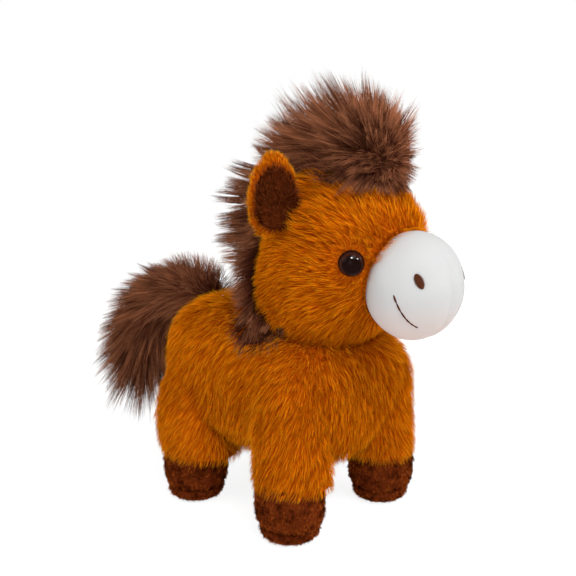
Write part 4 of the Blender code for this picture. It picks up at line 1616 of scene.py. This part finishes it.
@dataclass
class Hooves:
    """Short-nap hooves: a tube and a rounded sole that meet in a seam."""

    lumps: float = 0.0004
    steps: int = 56
    seam_gap: float = 0.0002
    above_floor: float = 0.0002
    floor_reach: float = 0.004
    bare_middle: float = 0.45
    bare_top: float = 0.006
    bare_seam: float = 0.0004
    sole_shape: tuple[tuple[float, float], ...] = (
        (0.0, 0.0), (0.20, 0.0), (0.38, 0.0), (0.52, 0.05), (0.64, 0.14), (0.74, 0.28), (0.81, 0.48),
        (0.85, 0.70), (0.84, 0.88), (0.80, 0.97), (0.70, 1.0), (0.0, 1.0))
    tube_shape: tuple[tuple[float, float], ...] = (
        (0.0, 0.0), (0.70, 0.0), (0.82, 0.01), (0.89, 0.05), (0.935, 0.13), (0.965, 0.25),
        (0.985, 0.40), (0.99, 0.60), (0.98, 0.80), (0.96, 0.96), (0.93, 1.0), (0.0, 1.0))
    nap: PileStyle = PileStyle(density=2.0e6, length=0.0022, width=0.00040, rise=0.54, settle=0.35,
                               droop=0.1, rings=1, tufts=(Tuft(0.0022, 0.5, 1.0, 0.22, 0.34),),
                               tangle=0.24, tone_spread=0.20)

    def lumpy(self, mesh: bmesh.types.BMesh, middle: Vector, floor: float) -> None:
        """Gives a turned solid the slight lumps of loose stuffing.

        Args:
            mesh: The solid.
            middle: A point of its axis.
            floor: Height up to which it stays smooth.
        """
        for vertex in mesh.verts:
            out = Vector((vertex.co.x - middle.x, vertex.co.y - middle.y, 0.0))
            if out.length > WELD:
                out.normalize()
            share = min(max((vertex.co.z - floor) / self.floor_reach, 0.0), 1.0)
            vertex.co += out * noise.noise(vertex.co * 90.0) * self.lumps * share

    def build(self, corner: str) -> None:
        """Builds one hoof.

        Args:
            corner: Name of the leg.
        """
        rng = np.random.default_rng(41 + CORNERS.index(corner))
        low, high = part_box(f"hoof_cover_{corner}")
        sole_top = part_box(f"hoof_sole_{corner}")[1].z
        middle = Vector(((low.x + high.x) / 2, (low.y + high.y) / 2, 0.0))
        radius = (high.x - low.x) / 2
        seam = (low.z + sole_top) / 2
        foot = seam + self.seam_gap
        rise = high.z - seam - self.seam_gap
        sole = [(radius * share, seam * height) for share, height in self.sole_shape]
        tube = [(radius * share, foot + rise * height) for share, height in self.tube_shape]
        # The sole pad's tone is raised: painted light on the lower hoof.
        for name, profile, node, pad_painted_light in (("hoof_sole_pad", sole, f"hoof_sole_{corner}", 0.10),
                                             ("hoof_tube", tube, f"hoof_cover_{corner}", 0.0)):
            mesh = turned(profile, middle, Vector((0, 0, 1)), self.steps)
            self.lumpy(mesh, middle, 0.001)
            piece = piece_from(f"{name}_{corner}", mesh, HOOF_CLOTH.material())
            dress(piece, "root", Slot.HOOF, node, fill=0.8)
            roots = Field(piece.data).sown(self.nap.density, rng)
            aside = np.linalg.norm(roots.places[:, :2] - np.array(middle[:2]), axis=1)
            up = roots.places[:, 2]
            roots = roots.kept((aside > radius * self.bare_middle) & (up < high.z - self.bare_top)
                               & (np.abs(up - seam) > self.bare_seam) & (up > self.above_floor))
            roots.comb = across(DOWN + drifting(roots.places, 130.0, 1.3), roots.normals)
            roots.shade = patchy(roots.places, 200.0, 1.9) + pad_painted_light
            roots.length *= eased_up(0.35, 0.0, self.floor_reach, roots.places[:, 2])
            points, tone = comb_out(self.nap, roots, rng)
            points[:, :, 2] = np.maximum(points[:, :, 2], self.above_floor)
            fuzz = hair_piece(f"{name}_nap_{corner}", self.nap, HOOF_NAP, points, tone, rng)
            dress(fuzz, "root", Slot.HOOF)


@dataclass(frozen=True)
class MopStyle:
    """How very long pile rises from its line of stitching and fills the form of its tuft."""

    count: int
    pile: PileStyle
    lean: float = 0.1
    crest: float = 0.004
    flare: float = 0.3
    spread: float = 0.006
    overshoots: tuple[float, ...] = (0.0010, 0.0010)
    clearance: float = 0.0040
    unevenness: float = 0.0010
    inner_share: float = 0.35
    inner_depths: tuple[float, float] = (0.6, 0.97)
    root_pull: float = 0.24
    tip_pull: float = 0.36
    wave: float = 0.05
    length_spread: float = 0.05
    slump: tuple[float, float, float] = (0.0, 0.0, 0.0)
    margin: float = 0.0015


class Spine:
    """A line of stitching that long pile grows from."""

    def __init__(self, places: Sequence[Vector], samples: int = 60) -> None:
        """Spreads sample points evenly along the line.

        Args:
            places: Corners of the line.
            samples: How many points are spread.
        """
        line = np.array([tuple(place) for place in places])
        runs = np.concatenate(([0.0], np.cumsum(np.linalg.norm(np.diff(line, axis=0), axis=1))))
        self.shares = np.linspace(0.0, 1.0, samples)
        self.places = np.stack([np.interp(self.shares * runs[-1], runs, line[:, part])
                                for part in range(3)], axis=1)
        self.tree = KDTree(samples)
        for index, place in enumerate(self.places):
            self.tree.insert(Vector(place), index)
        self.tree.balance()

    def nearest(self, places: Array) -> Array:
        """Share along the line that lies nearest to each place."""
        return np.array([self.shares[self.tree.find(Vector(place))[1]] for place in places])

    def at(self, shares: Array) -> Array:
        """Places at shares along the line."""
        held = np.clip(shares, 0.0, 1.0)
        return np.stack([np.interp(held, self.shares, self.places[:, part])
                         for part in range(3)], axis=1)


def rooted(places: Array, skins: Sequence[Field], sink: float = 0.0008) -> tuple[Array, Array]:
    """Moves places to the outermost of several skins.

    Args:
        places: One place per row.
        skins: Surfaces to choose from; a place hidden in a later one moves to that one.
        sink: How deep below the surface the places end.

    Returns:
        The places on the skins and the normals there.
    """
    spots, normals = skins[0].snapped(places, sink)
    for skin in skins[1:]:
        buried = skin.hides(spots, 0.0)
        if buried.any():
            spots[buried], normals[buried] = skin.snapped(spots[buried], sink)
    return spots, normals


def in_ball(count: int, rng: np.random.Generator) -> Array:
    """Seeded places in a ball of radius 1, densest at its middle."""
    return unit(rng.normal(size=(count, 3))) * (rng.random((count, 1))**0.5)


def curved(along: Array, starts: Array, first: Array, last: Array, ends: Array) -> Array:
    """Runs a cubic curve from each root to its tip.

    Args:
        along: Shares of the way from root to tip.
        starts: The roots.
        first: What each curve leaves its root towards.
        last: What each curve comes to its tip from.
        ends: The tips.

    Returns:
        Points of each curve.
    """
    return (starts[:, None] * (1 - along)**3 + first[:, None] * 3 * along * (1 - along)**2
            + last[:, None] * 3 * along**2 * (1 - along) + ends[:, None] * along**3)


def mop_out(style: MopStyle, form: Field, spine: Spine, skins: Sequence[Field],
            rng: np.random.Generator, left_out: Field | None = None) -> tuple[Array, Array]:
    """Grows long hairs from a line of stitching to the outside of a form, in pointed locks.

    Args:
        style: How the hairs rise and gather.
        form: Outside of the tuft.
        spine: Line of stitching.
        skins: Surfaces that the hairs are rooted in, and that hide the form's inner side.
        rng: Seeded random numbers.
        left_out: Closed surface in which no tip is wanted.

    Returns:
        Points of each hair from root to tip, and the tone of each hair from 0 to 1.
    """
    density = style.count / form.areas.sum()
    tips = form.sown(density, rng, 0.0).outside([(skin, style.margin) for skin in skins])
    if left_out:
        tips = tips.outside([(left_out, 0.0)])
    count = tips.count()
    near = spine.nearest(tips.places)
    over = np.interp(near, np.linspace(0.0, 1.0, len(style.overshoots)), style.overshoots)
    ends = tips.places + tips.normals * (over + rng.normal(0.0, style.unevenness, count))[:, None]
    ends += near[:, None] * np.array(style.slump)
    shares = near - style.lean + rng.normal(0.0, 0.05, count)
    starts, normals = rooted(spine.at(shares) + in_ball(count, rng) * style.spread, skins)
    inner = rng.random(count) < style.inner_share
    depth = np.where(inner, rng.uniform(*style.inner_depths, count), 1.0)
    ends = starts + (ends - starts) * depth[:, None]
    reach = ends - starts
    length = np.linalg.norm(reach, axis=1, keepdims=True)
    ahead = reach / np.maximum(length, 1e-9)
    first = starts + normals * style.crest + ahead * length * style.root_pull
    last = ends - unit(ahead + tips.normals * style.flare) * length * style.tip_pull
    along = np.linspace(0.0, 1.0, style.pile.rings + 1)[None, :, None]
    points = curved(along, starts, first, last, ends)
    tone = MIDDLE_TONE + patchy(ends, 110.0, 0.22) + rng.normal(0.0, style.pile.tone_spread / 2, count)
    loyal = rng.uniform(0.65, 1.0, (count, 1, 1))
    for tuft in style.pile.tufts:
        chosen, follows = leaders_of(ends, tuft.spacing, density, rng)
        shift = rng.normal(0.0, style.wave * tuft.stray, (len(chosen), 1, 3))[follows]
        grow = 1.0 + rng.normal(0.0, style.length_spread, (len(chosen), 1, 1))[follows]
        points = points + (points[chosen][follows] - points) * tuft.pull * loyal * along**tuft.curve
        points = starts[:, None] + (points - starts[:, None]) * (1.0 + (grow - 1.0) * along)
        points = points + shift * along**2
        tone += rng.normal(0.0, 1.0, len(chosen))[follows] * tuft.tone
    for ring in range(2, points.shape[1]):
        for skin in skins:
            points[:, ring] = skin.lifted(points[:, ring], style.clearance)
    return points, np.clip(tone, *TONE_RANGE)


def undergrowth(style: PileStyle, cloth: Field, near: Field, margin: float, source: Vector,
                rng: np.random.Generator) -> tuple[Array, Array]:
    """Grows the shorter pile inside a tuft, where its cloth would show between the long locks.

    Args:
        style: How the pile is combed.
        cloth: Surface that it is sewn to.
        near: Form of the tuft.
        margin: Distance from the form within which it grows.
        source: Point that it is combed away from.
        rng: Seeded random numbers.

    Returns:
        Points of each hair from root to tip, and the tone of each hair from 0 to 1.
    """
    roots = cloth.sown(style.density, rng)
    roots = roots.kept(near.hides(roots.places, margin))
    roots.comb = laid(roots.places - np.array(source), roots.normals)
    # The fixed offset darkens all the undergrowth: painted shade under the long locks.
    roots.shade = patchy(roots.places, 110.0, 0.2) - 0.10
    return comb_out(style, roots, rng)


def fanned(style: MopStyle, crease: Sequence[Vector], hem: Sequence[Vector], cloth: Field,
           rng: np.random.Generator) -> tuple[Array, Array]:
    """Fans long hairs from a crease over a cloth, as one flat lock.

    Args:
        style: How the hairs rise and gather.
        crease: First and last point of the line that the hairs start from.
        hem: First and last point of the line that their tips reach.
        cloth: Surface that they are sewn to and lie on.
        rng: Seeded random numbers.

    Returns:
        Points of each hair from root to tip, and the tone of each hair from 0 to 1.
    """
    share = rng.random((style.count, 1))
    ball = in_ball(style.count, rng)
    starts = np.array(crease[0]) * (1.0 - share) + np.array(crease[1]) * share
    starts, normals = cloth.snapped(starts + ball * style.spread, 0.0008)
    aim = np.clip(share + rng.normal(0.0, 0.10, share.shape), 0.0, 1.0)
    ends = np.array(hem[0]) * (1.0 - aim) + np.array(hem[1]) * aim
    ends += ball[::-1] * style.spread * 0.6
    ends = starts + (ends - starts) * rng.uniform(0.45, 1.04, share.shape)
    first = starts + normals * style.crest + (ends - starts) * style.root_pull
    last = ends - (ends - starts) * style.tip_pull + normals * style.crest * 0.6
    along = np.linspace(0.0, 1.0, style.pile.rings + 1)[None, :, None]
    points = curved(along, starts, first, last, ends)
    # The lock's lower tone is painted shade below the head.
    tone = LOCK_SHADOW_TONE + patchy(ends, 110.0, 0.22) + rng.normal(0.0, style.pile.tone_spread / 2,
                                                             style.count)
    for tuft in style.pile.tufts:
        chosen, follows = leaders_of(ends, tuft.spacing, style.count / LOCK_AREA, rng)
        points = points + (points[chosen][follows] - points) * tuft.pull * along**tuft.curve
        tone += rng.normal(0.0, 1.0, len(chosen))[follows] * tuft.tone
    for ring in range(1, points.shape[1]):
        height = style.clearance * (0.35 + 0.65 * ring / style.pile.rings)
        points[:, ring] = cloth.lifted(points[:, ring], height)
    return points, np.clip(tone, *TONE_RANGE)


LONG_LOCKS = PileStyle(width=0.00042, rings=4,
                       tufts=(Tuft(0.0019, 0.58, 1.5, 0.018, 0.25),
                              Tuft(0.0052, 0.45, 1.8, 0.030, 0.22)), tone_spread=0.34, taper=0.5)
MANE_LOCKS = PileStyle(width=0.00049, rings=4,
                       tufts=(Tuft(0.0022, 0.58, 1.5, 0.020, 0.25),
                              Tuft(0.0080, 0.62, 1.6, 0.040, 0.20)), tone_spread=0.34, taper=0.5)
UNDER_LOCKS = PileStyle(density=0.9e6, length=0.020, width=0.00040, rise=0.72, settle=0.42,
                        droop=0.12, rings=3, tufts=(Tuft(0.0030, 0.5, 1.4, 0.10, 0.10),),
                        tangle=0.12, tone_spread=0.24, taper=0.5)
LAID_LOCKS = replace(UNDER_LOCKS, length=0.015, rise=0.28, settle=0.06, tangle=0.07)


@dataclass
class LongPile:
    """The forelock, the mane and the tail, all of very long brown pile."""

    forelock: MopStyle = MopStyle(10800, LONG_LOCKS, lean=0.45, crest=0.016, flare=0.35,
                                  spread=0.007, overshoots=(0.0016, 0.0044, 0.0044, 0.0030, 0.0040),
                                  length_spread=0.04)
    whorl: MopStyle = MopStyle(7400, LONG_LOCKS, lean=0.0, crest=0.018, flare=2.5, spread=0.009,
                               overshoots=(0.0, 0.0), clearance=0.0042, length_spread=0.05,
                               margin=-0.0090)
    mane: MopStyle = MopStyle(11700, MANE_LOCKS, lean=0.14, crest=0.004, flare=0.25, spread=0.007,
                              overshoots=(0.0050, 0.0105, 0.0068, 0.0090, -0.0012, -0.0006))
    tail: MopStyle = MopStyle(14200, LONG_LOCKS, lean=0.30, crest=0.004, flare=0.30, spread=0.004,
                              overshoots=(0.0060, 0.0020, 0.0048, 0.0075, 0.0080),
                              length_spread=0.035, slump=(0.0, -0.0022, -0.0072))
    lock: MopStyle = MopStyle(4200, MANE_LOCKS, crest=0.0060, spread=0.0070, clearance=0.0072,
                              root_pull=0.25, tip_pull=0.30)
    lock_shares: tuple = (((0.44, 0.53, 0.985), (0.37, 0.40, 0.94)),
                          ((0.10, 0.46, 0.84), (0.17, 0.21, 0.80)))
    whorl_radius: float = 0.0245
    dock_radius: float = 0.0050
    dock_density: float = 1.4e6

    def finish_pile(self, name: str, style: MopStyle, grown: tuple[Array, Array], body: str,
                    node: str, rng: np.random.Generator) -> None:
        """Makes the long pile's two halves, left and right of the middle.

        Args:
            name: Name of the pile.
            style: Its style.
            grown: Points and tone of each hair.
            body: Body that it moves with.
            node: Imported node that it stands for.
            rng: Seeded random numbers.
        """
        points, tone = grown
        middle = np.median(points[:, -1, 0])
        left = points[:, -1, 0] >= middle
        for half, mask in (("left", left), ("right", ~left)):
            piece = hair_piece(f"{name}_pile_{half}", style.pile, SHAG, points[mask], tone[mask], rng)
            dress(piece, body, Slot.LONG_PILE, node)

    def ball_round(self, hub: Vector, radius: float, farthest_back: float,
                   skirt: float = 0.0) -> Field:
        """Makes a ball to sow tips on, open at its back.

        Args:
            hub: Middle of the ball.
            radius: Its radius.
            farthest_back: Largest Y that is kept.
            skirt: Share by which its foot is wider and longer.

        Returns:
            The ball's surface.
        """
        mesh = bmesh.new()
        bmesh.ops.create_icosphere(mesh, subdivisions=4, radius=radius, matrix=Matrix.Translation(hub))
        for vertex in mesh.verts:
            sunk = min(max((hub.z - vertex.co.z) / radius, 0.0), 1.0)
            vertex.co = hub + (vertex.co - hub) * (1.0 + skirt * sunk)
        behind = [vertex for vertex in mesh.verts if vertex.co.y > farthest_back]
        bmesh.ops.delete(mesh, geom=behind, context="VERTS")
        return Field.round_form(mesh)

    def grow_forelock(self, head: Field) -> None:
        """Grows the mop on the crown, which bursts from a whorl above the forehead."""
        rng = np.random.default_rng(53)
        line = Spine([in_box("forelock", 0.5, share, 0.0) for share in (0.25, 0.45, 0.66, 0.84)])
        form = Field(frame["nodes"]["forelock"].data)
        hub = in_box("forelock", 0.5, 0.285, 0.46)
        grown = mop_out(self.forelock, form, line, [head], rng,
                        self.ball_round(hub, self.whorl_radius * 0.92, math.inf))
        self.finish_pile("forelock", self.forelock, grown, "root", "forelock", rng)
        burst = self.ball_round(hub, self.whorl_radius, hub.y + self.whorl_radius * 0.45, 0.58)
        foot = Spine([in_box("forelock", 0.5, share, 0.0) for share in (0.24, 0.30)])
        grown = mop_out(self.whorl, burst, foot, [head], rng)
        self.finish_pile("whorl", self.whorl, grown, "root", "forelock", rng)
        source = in_box("forelock", 0.5, 0.34, 0.2)
        points, tone = undergrowth(UNDER_LOCKS, head, form, 0.0040, source, rng)
        under = hair_piece("forelock_under_pile", UNDER_LOCKS, SHAG, points, tone, rng)
        dress(under, "root", Slot.LONG_PILE)

    def lock_lines(self) -> tuple[list[Vector], list[Vector]]:
        """Crease that the lock over the right shoulder starts from, and the hem that it reaches."""
        return tuple([in_box("body_cover", *shares) for shares in line] for line in self.lock_shares)

    def lock_form(self) -> Field:
        """Makes a closed form round the lock over the right shoulder, in which no coat grows.

        Returns:
            The form's surface.
        """
        crease, hem = self.lock_lines()
        start, end = sum(crease, Vector()) / 2, sum(hem, Vector()) / 2
        along, side = end - start, hem[1] - hem[0]
        over = along.cross(side).normalized()
        turn = Matrix((along.normalized(), over.cross(along).normalized(), over)).transposed()
        sizes = Matrix.Diagonal((along.length / 2, side.length * 0.42, 0.022, 1.0))
        mesh = bmesh.new()
        bmesh.ops.create_icosphere(mesh, subdivisions=4, radius=1.0,
                                   matrix=Matrix.Translation((start + end) / 2) @ turn.to_4x4() @ sizes)
        bmesh.ops.recalc_face_normals(mesh, faces=mesh.faces)
        return Field.round_form(mesh)

    def grow_mane(self, head: Field, torso: Field) -> None:
        """Grows the mane down the nape, to the lock over the right shoulder."""
        rng = np.random.default_rng(61)
        line = Spine([in_box("mane", *shares) for shares in
                      ((0.78, 0.15, 0.93), (0.78, 0.32, 0.70), (0.77, 0.42, 0.48),
                       (0.70, 0.38, 0.28), (0.52, 0.24, 0.14), (0.40, 0.14, 0.08))])
        form = Field(frame["nodes"]["mane"].data)
        grown = mop_out(self.mane, form, line, [head, torso], rng)
        self.finish_pile("mane", self.mane, grown, "root", "mane", rng)
        crease, hem = self.lock_lines()
        grown = fanned(self.lock, crease, hem, torso, rng)
        piece = hair_piece("withers_lock", self.lock.pile, SHAG, *grown, rng)
        dress(piece, "root", Slot.LONG_PILE)
        nape, lock = in_box("mane", 0.9, 0.0, 1.0), self.lock_form()
        for name, style, skin, near, margin, source in (
                ("nape", UNDER_LOCKS, head, form, 0.0048, nape),
                ("withers", LAID_LOCKS, torso, form, 0.0026, crease[0]),
                ("shoulder", LAID_LOCKS, torso, lock, 0.0, crease[0])):
            points, tone = undergrowth(style, skin, near, margin, source, rng)
            under = hair_piece(f"{name}_under_pile", style, SHAG, points, tone, rng)
            dress(under, "root", Slot.LONG_PILE)

    def build_dock(self, path: Sequence[Vector]) -> Field:
        """Builds the thin stuffed dock that carries the tail's pile.

        Args:
            path: Middle line of the dock.

        Returns:
            The dock's surface.
        """
        mesh = bmesh.new()
        for index, spot in enumerate(path):
            size = self.dock_radius * (0.75 + 0.25 * math.sin(math.pi * index / (len(path) - 1)))
            bmesh.ops.create_icosphere(mesh, subdivisions=2, radius=size,
                                       matrix=Matrix.Translation(spot))
        for first, second in zip(path, path[1:]):
            middle, span = (first + second) / 2, second - first
            turn = span.to_track_quat("Z", "Y").to_matrix().to_4x4()
            bmesh.ops.create_cone(mesh, cap_ends=True, segments=16, radius1=self.dock_radius * 0.8,
                                  radius2=self.dock_radius * 0.8, depth=span.length,
                                  matrix=Matrix.Translation(middle) @ turn)
        skin = piece_from("tail_dock", stuffed_skin([mesh], 0.0014, 8), SHAG_BACKING.material())
        dress(skin, "tail", Slot.LONG_PILE, "tail", fill=0.7)
        return Field(skin.data)

    def grow_tail(self) -> None:
        """Builds the dock, the bush of pile round it and the tuft that stands at its root."""
        rng = np.random.default_rng(71)
        low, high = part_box("tail")
        start = Vector(joint_named("tail_swing")["pos_m"])
        reach, drop = high.y - start.y, start.z - low.z
        path = [start + Vector((0, reach * back, -drop * down)) for back, down in
                ((0.0, 0.0), (0.14, -0.045), (0.28, -0.045), (0.44, 0.03), (0.58, 0.14),
                 (0.69, 0.30), (0.77, 0.50))]
        dock = self.build_dock(path)
        form = Field(frame["nodes"]["tail"].data)
        line = Spine(path)
        grown = mop_out(self.tail, form, line, [dock], rng)
        self.finish_pile("tail", self.tail, grown, "tail", "tail", rng)
        roots = dock.sown(self.dock_density, rng)
        along = line.nearest(roots.places)
        far = smooth_step(0.05, 0.45, along)[:, None]
        roots.comb = laid(np.array((0.0, 0.10, 1.0)) * (1.0 - far) + np.array((0.0, 0.7, -0.5)) * far,
                          roots.normals)
        points, tone = comb_out(UNDER_LOCKS, roots, rng)
        under = hair_piece("tail_under_pile", UNDER_LOCKS, SHAG, points, tone, rng)
        dress(under, "tail", Slot.LONG_PILE)


@dataclass
class Studio:
    """Pale floor, soft lamps, white background and the camera."""

    focal: float = 58.125
    height: float = 0.2371
    distance: float = 0.3744
    pitch: float = 78.4
    heading: float = -45.0
    floor_glow: float = 1.2
    floor_share: float = 0.72
    fill_strength: float = 0.55

    def stance_shift(self) -> float:
        """How far the middle of the hooves lies from the origin along Y."""
        boxes = [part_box(f"hoof_sole_{corner}") for corner in CORNERS]
        return (min(low.y for low, _ in boxes) + max(high.y for _, high in boxes)) / 2

    def build_camera(self) -> None:
        """Puts the camera where the photograph was taken from."""
        data = bpy.data.cameras.new("camera")
        data.lens = self.focal
        data.clip_start = 0.01
        camera = bpy.data.objects.new("camera", data)
        camera.location = (-self.distance, self.stance_shift() - self.distance, self.height)
        camera.rotation_euler = (math.radians(self.pitch), 0.0, math.radians(self.heading))
        bpy.context.scene.collection.objects.link(camera)
        bpy.context.scene.camera = camera

    def seen_plainly(self, shader: Shader) -> bpy.types.NodeSocket:
        """Tells rays from the camera, from a gloss or through something clear from the others.

        Args:
            shader: Builder of the tree that asks.

        Returns:
            Socket that is 1 for those rays and 0 for the others.
        """
        ray = shader.node("LightPath")
        most = ray.outputs["Is Camera Ray"]
        for name in ("Is Glossy Ray", "Is Transmission Ray"):
            larger = shader.node("Math", operation="MAXIMUM")
            shader.link(most, larger.inputs[0])
            shader.link(ray.outputs[name], larger.inputs[1])
            most = larger.outputs[0]
        return most

    def build_floor(self) -> None:
        """Lays the floor, white to the camera but for the soft shadow on it."""
        mesh = bmesh.new()
        bmesh.ops.create_grid(mesh, x_segments=1, y_segments=1, size=6.0)
        material, shader, surface = start_material("pale_floor")
        surface.inputs["Base Color"].default_value = (0.86, 0.86, 0.86, 1.0)
        surface.inputs["Roughness"].default_value = 0.9
        surface.inputs["Specular IOR Level"].default_value = 0.1
        glow = shader.node("Emission", in_color=(*WHITE, 1.0), in_strength=self.floor_glow)
        amount = shader.node("Math", operation="MULTIPLY")
        amount.inputs[1].default_value = self.floor_share
        shader.link(self.seen_plainly(shader), amount.inputs[0])
        blend = shader.node("MixShader")
        shader.link(amount.outputs[0], blend.inputs[0])
        shader.link(surface.outputs[0], blend.inputs[1])
        shader.link(glow.outputs[0], blend.inputs[2])
        output = material.node_tree.nodes["Material Output"]
        shader.link(blend.outputs[0], output.inputs["Surface"])
        piece_from("floor", mesh, material)

    def build_world(self) -> None:
        """Makes the background white to the camera and a soft fill light elsewhere."""
        world = bpy.data.worlds.new("studio")
        bpy.context.scene.world = world
        world.use_nodes = True
        shader = Shader(world.node_tree)
        fill = world.node_tree.nodes["Background"]
        fill.inputs["Color"].default_value = (*WHITE, 1.0)
        fill.inputs["Strength"].default_value = self.fill_strength
        white = shader.node("Background", in_color=(*WHITE, 1.0), in_strength=1.0)
        blend = shader.node("MixShader")
        shader.link(self.seen_plainly(shader), blend.inputs[0])
        shader.link(fill.outputs[0], blend.inputs[1])
        shader.link(white.outputs[0], blend.inputs[2])
        shader.link(blend.outputs[0], world.node_tree.nodes["World Output"].inputs["Surface"])

    def lamp(self, name: str, place: Vector, size: float, power: float,
             only_glints: bool = False) -> None:
        """Hangs one soft square lamp that faces the toy.

        Args:
            name: Name of the lamp.
            place: Where it hangs.
            size: Its side.
            power: Its power in watts.
            only_glints: Whether it is seen only as a reflection in the eyes' gloss.
        """
        data = bpy.data.lights.new(name, "AREA")
        data.shape = "SQUARE"
        data.size = size
        data.energy = power
        lamp = bpy.data.objects.new(name, data)
        lamp.location = place
        lamp.visible_camera = False
        lamp.visible_diffuse = not only_glints
        aim = Vector((0.0, 0.0, 0.12)) - place
        lamp.rotation_euler = aim.to_track_quat("-Z", "Y").to_euler()
        bpy.context.scene.collection.objects.link(lamp)

    def build(self) -> None:
        """Builds the whole studio."""
        bpy.context.scene.view_settings.view_transform = "Standard"
        self.build_camera()
        self.build_floor()
        self.build_world()
        self.lamp("key", Vector((-0.35, -0.92, 1.22)), 0.7, 16.6)
        self.lamp("front_fill", Vector((0.75, -0.95, 0.55)), 0.6, 6.4)
        self.lamp("low_fill", Vector((-0.95, -0.75, 0.30)), 0.5, 1.6)
        self.lamp("side_fill", Vector((-1.10, 0.25, 0.70)), 0.8, 5.0)
        self.lamp("glint_high", Vector((-0.434, -0.532, 0.707)), 0.17, 22.0, only_glints=True)
        self.lamp("glint_side", Vector((0.061, -0.794, 0.563)), 0.12, 11.0, only_glints=True)


def main() -> None:
    """Builds the toy, piece by piece, and then its studio."""
    logging.basicConfig(level=logging.INFO, format="%(name)s: %(message)s")
    noise.seed_set(NOISE_SEED)
    torso, head, muzzle, eyes = Torso(), Head(), Muzzle(), Eyes()
    body_cloth = torso.build_skin()
    head_cloth = head.build_skin()
    muzzle.build_dome()
    muzzle.build_nostrils()
    muzzle.build_smile()
    eyes.build()
    forelock, mane, tail = (Field(frame["nodes"][node].data) for node in
                            ("forelock", "mane", "tail"))
    pile = LongPile()
    torso.grow_coat(body_cloth, [(head_cloth, 0.0), (mane, 0.0022), (tail, 0.0010),
                                 (pile.lock_form(), 0.0)])
    head.grow_coat(head_cloth, [(body_cloth, 0.0), (muzzle.surface, 0.0), (forelock, 0.0036),
                                (mane, 0.0042)], muzzle, eyes)
    head.grow_fringe(head_cloth, muzzle)
    ears = Ears()
    for side in SIDES:
        ears.build(side)
    hooves = Hooves()
    for corner in CORNERS:
        hooves.build(corner)
    pile.grow_forelock(head_cloth)
    pile.grow_mane(head_cloth, body_cloth)
    pile.grow_tail()
    Studio().build()


if __name__ == "__main__":
    main()
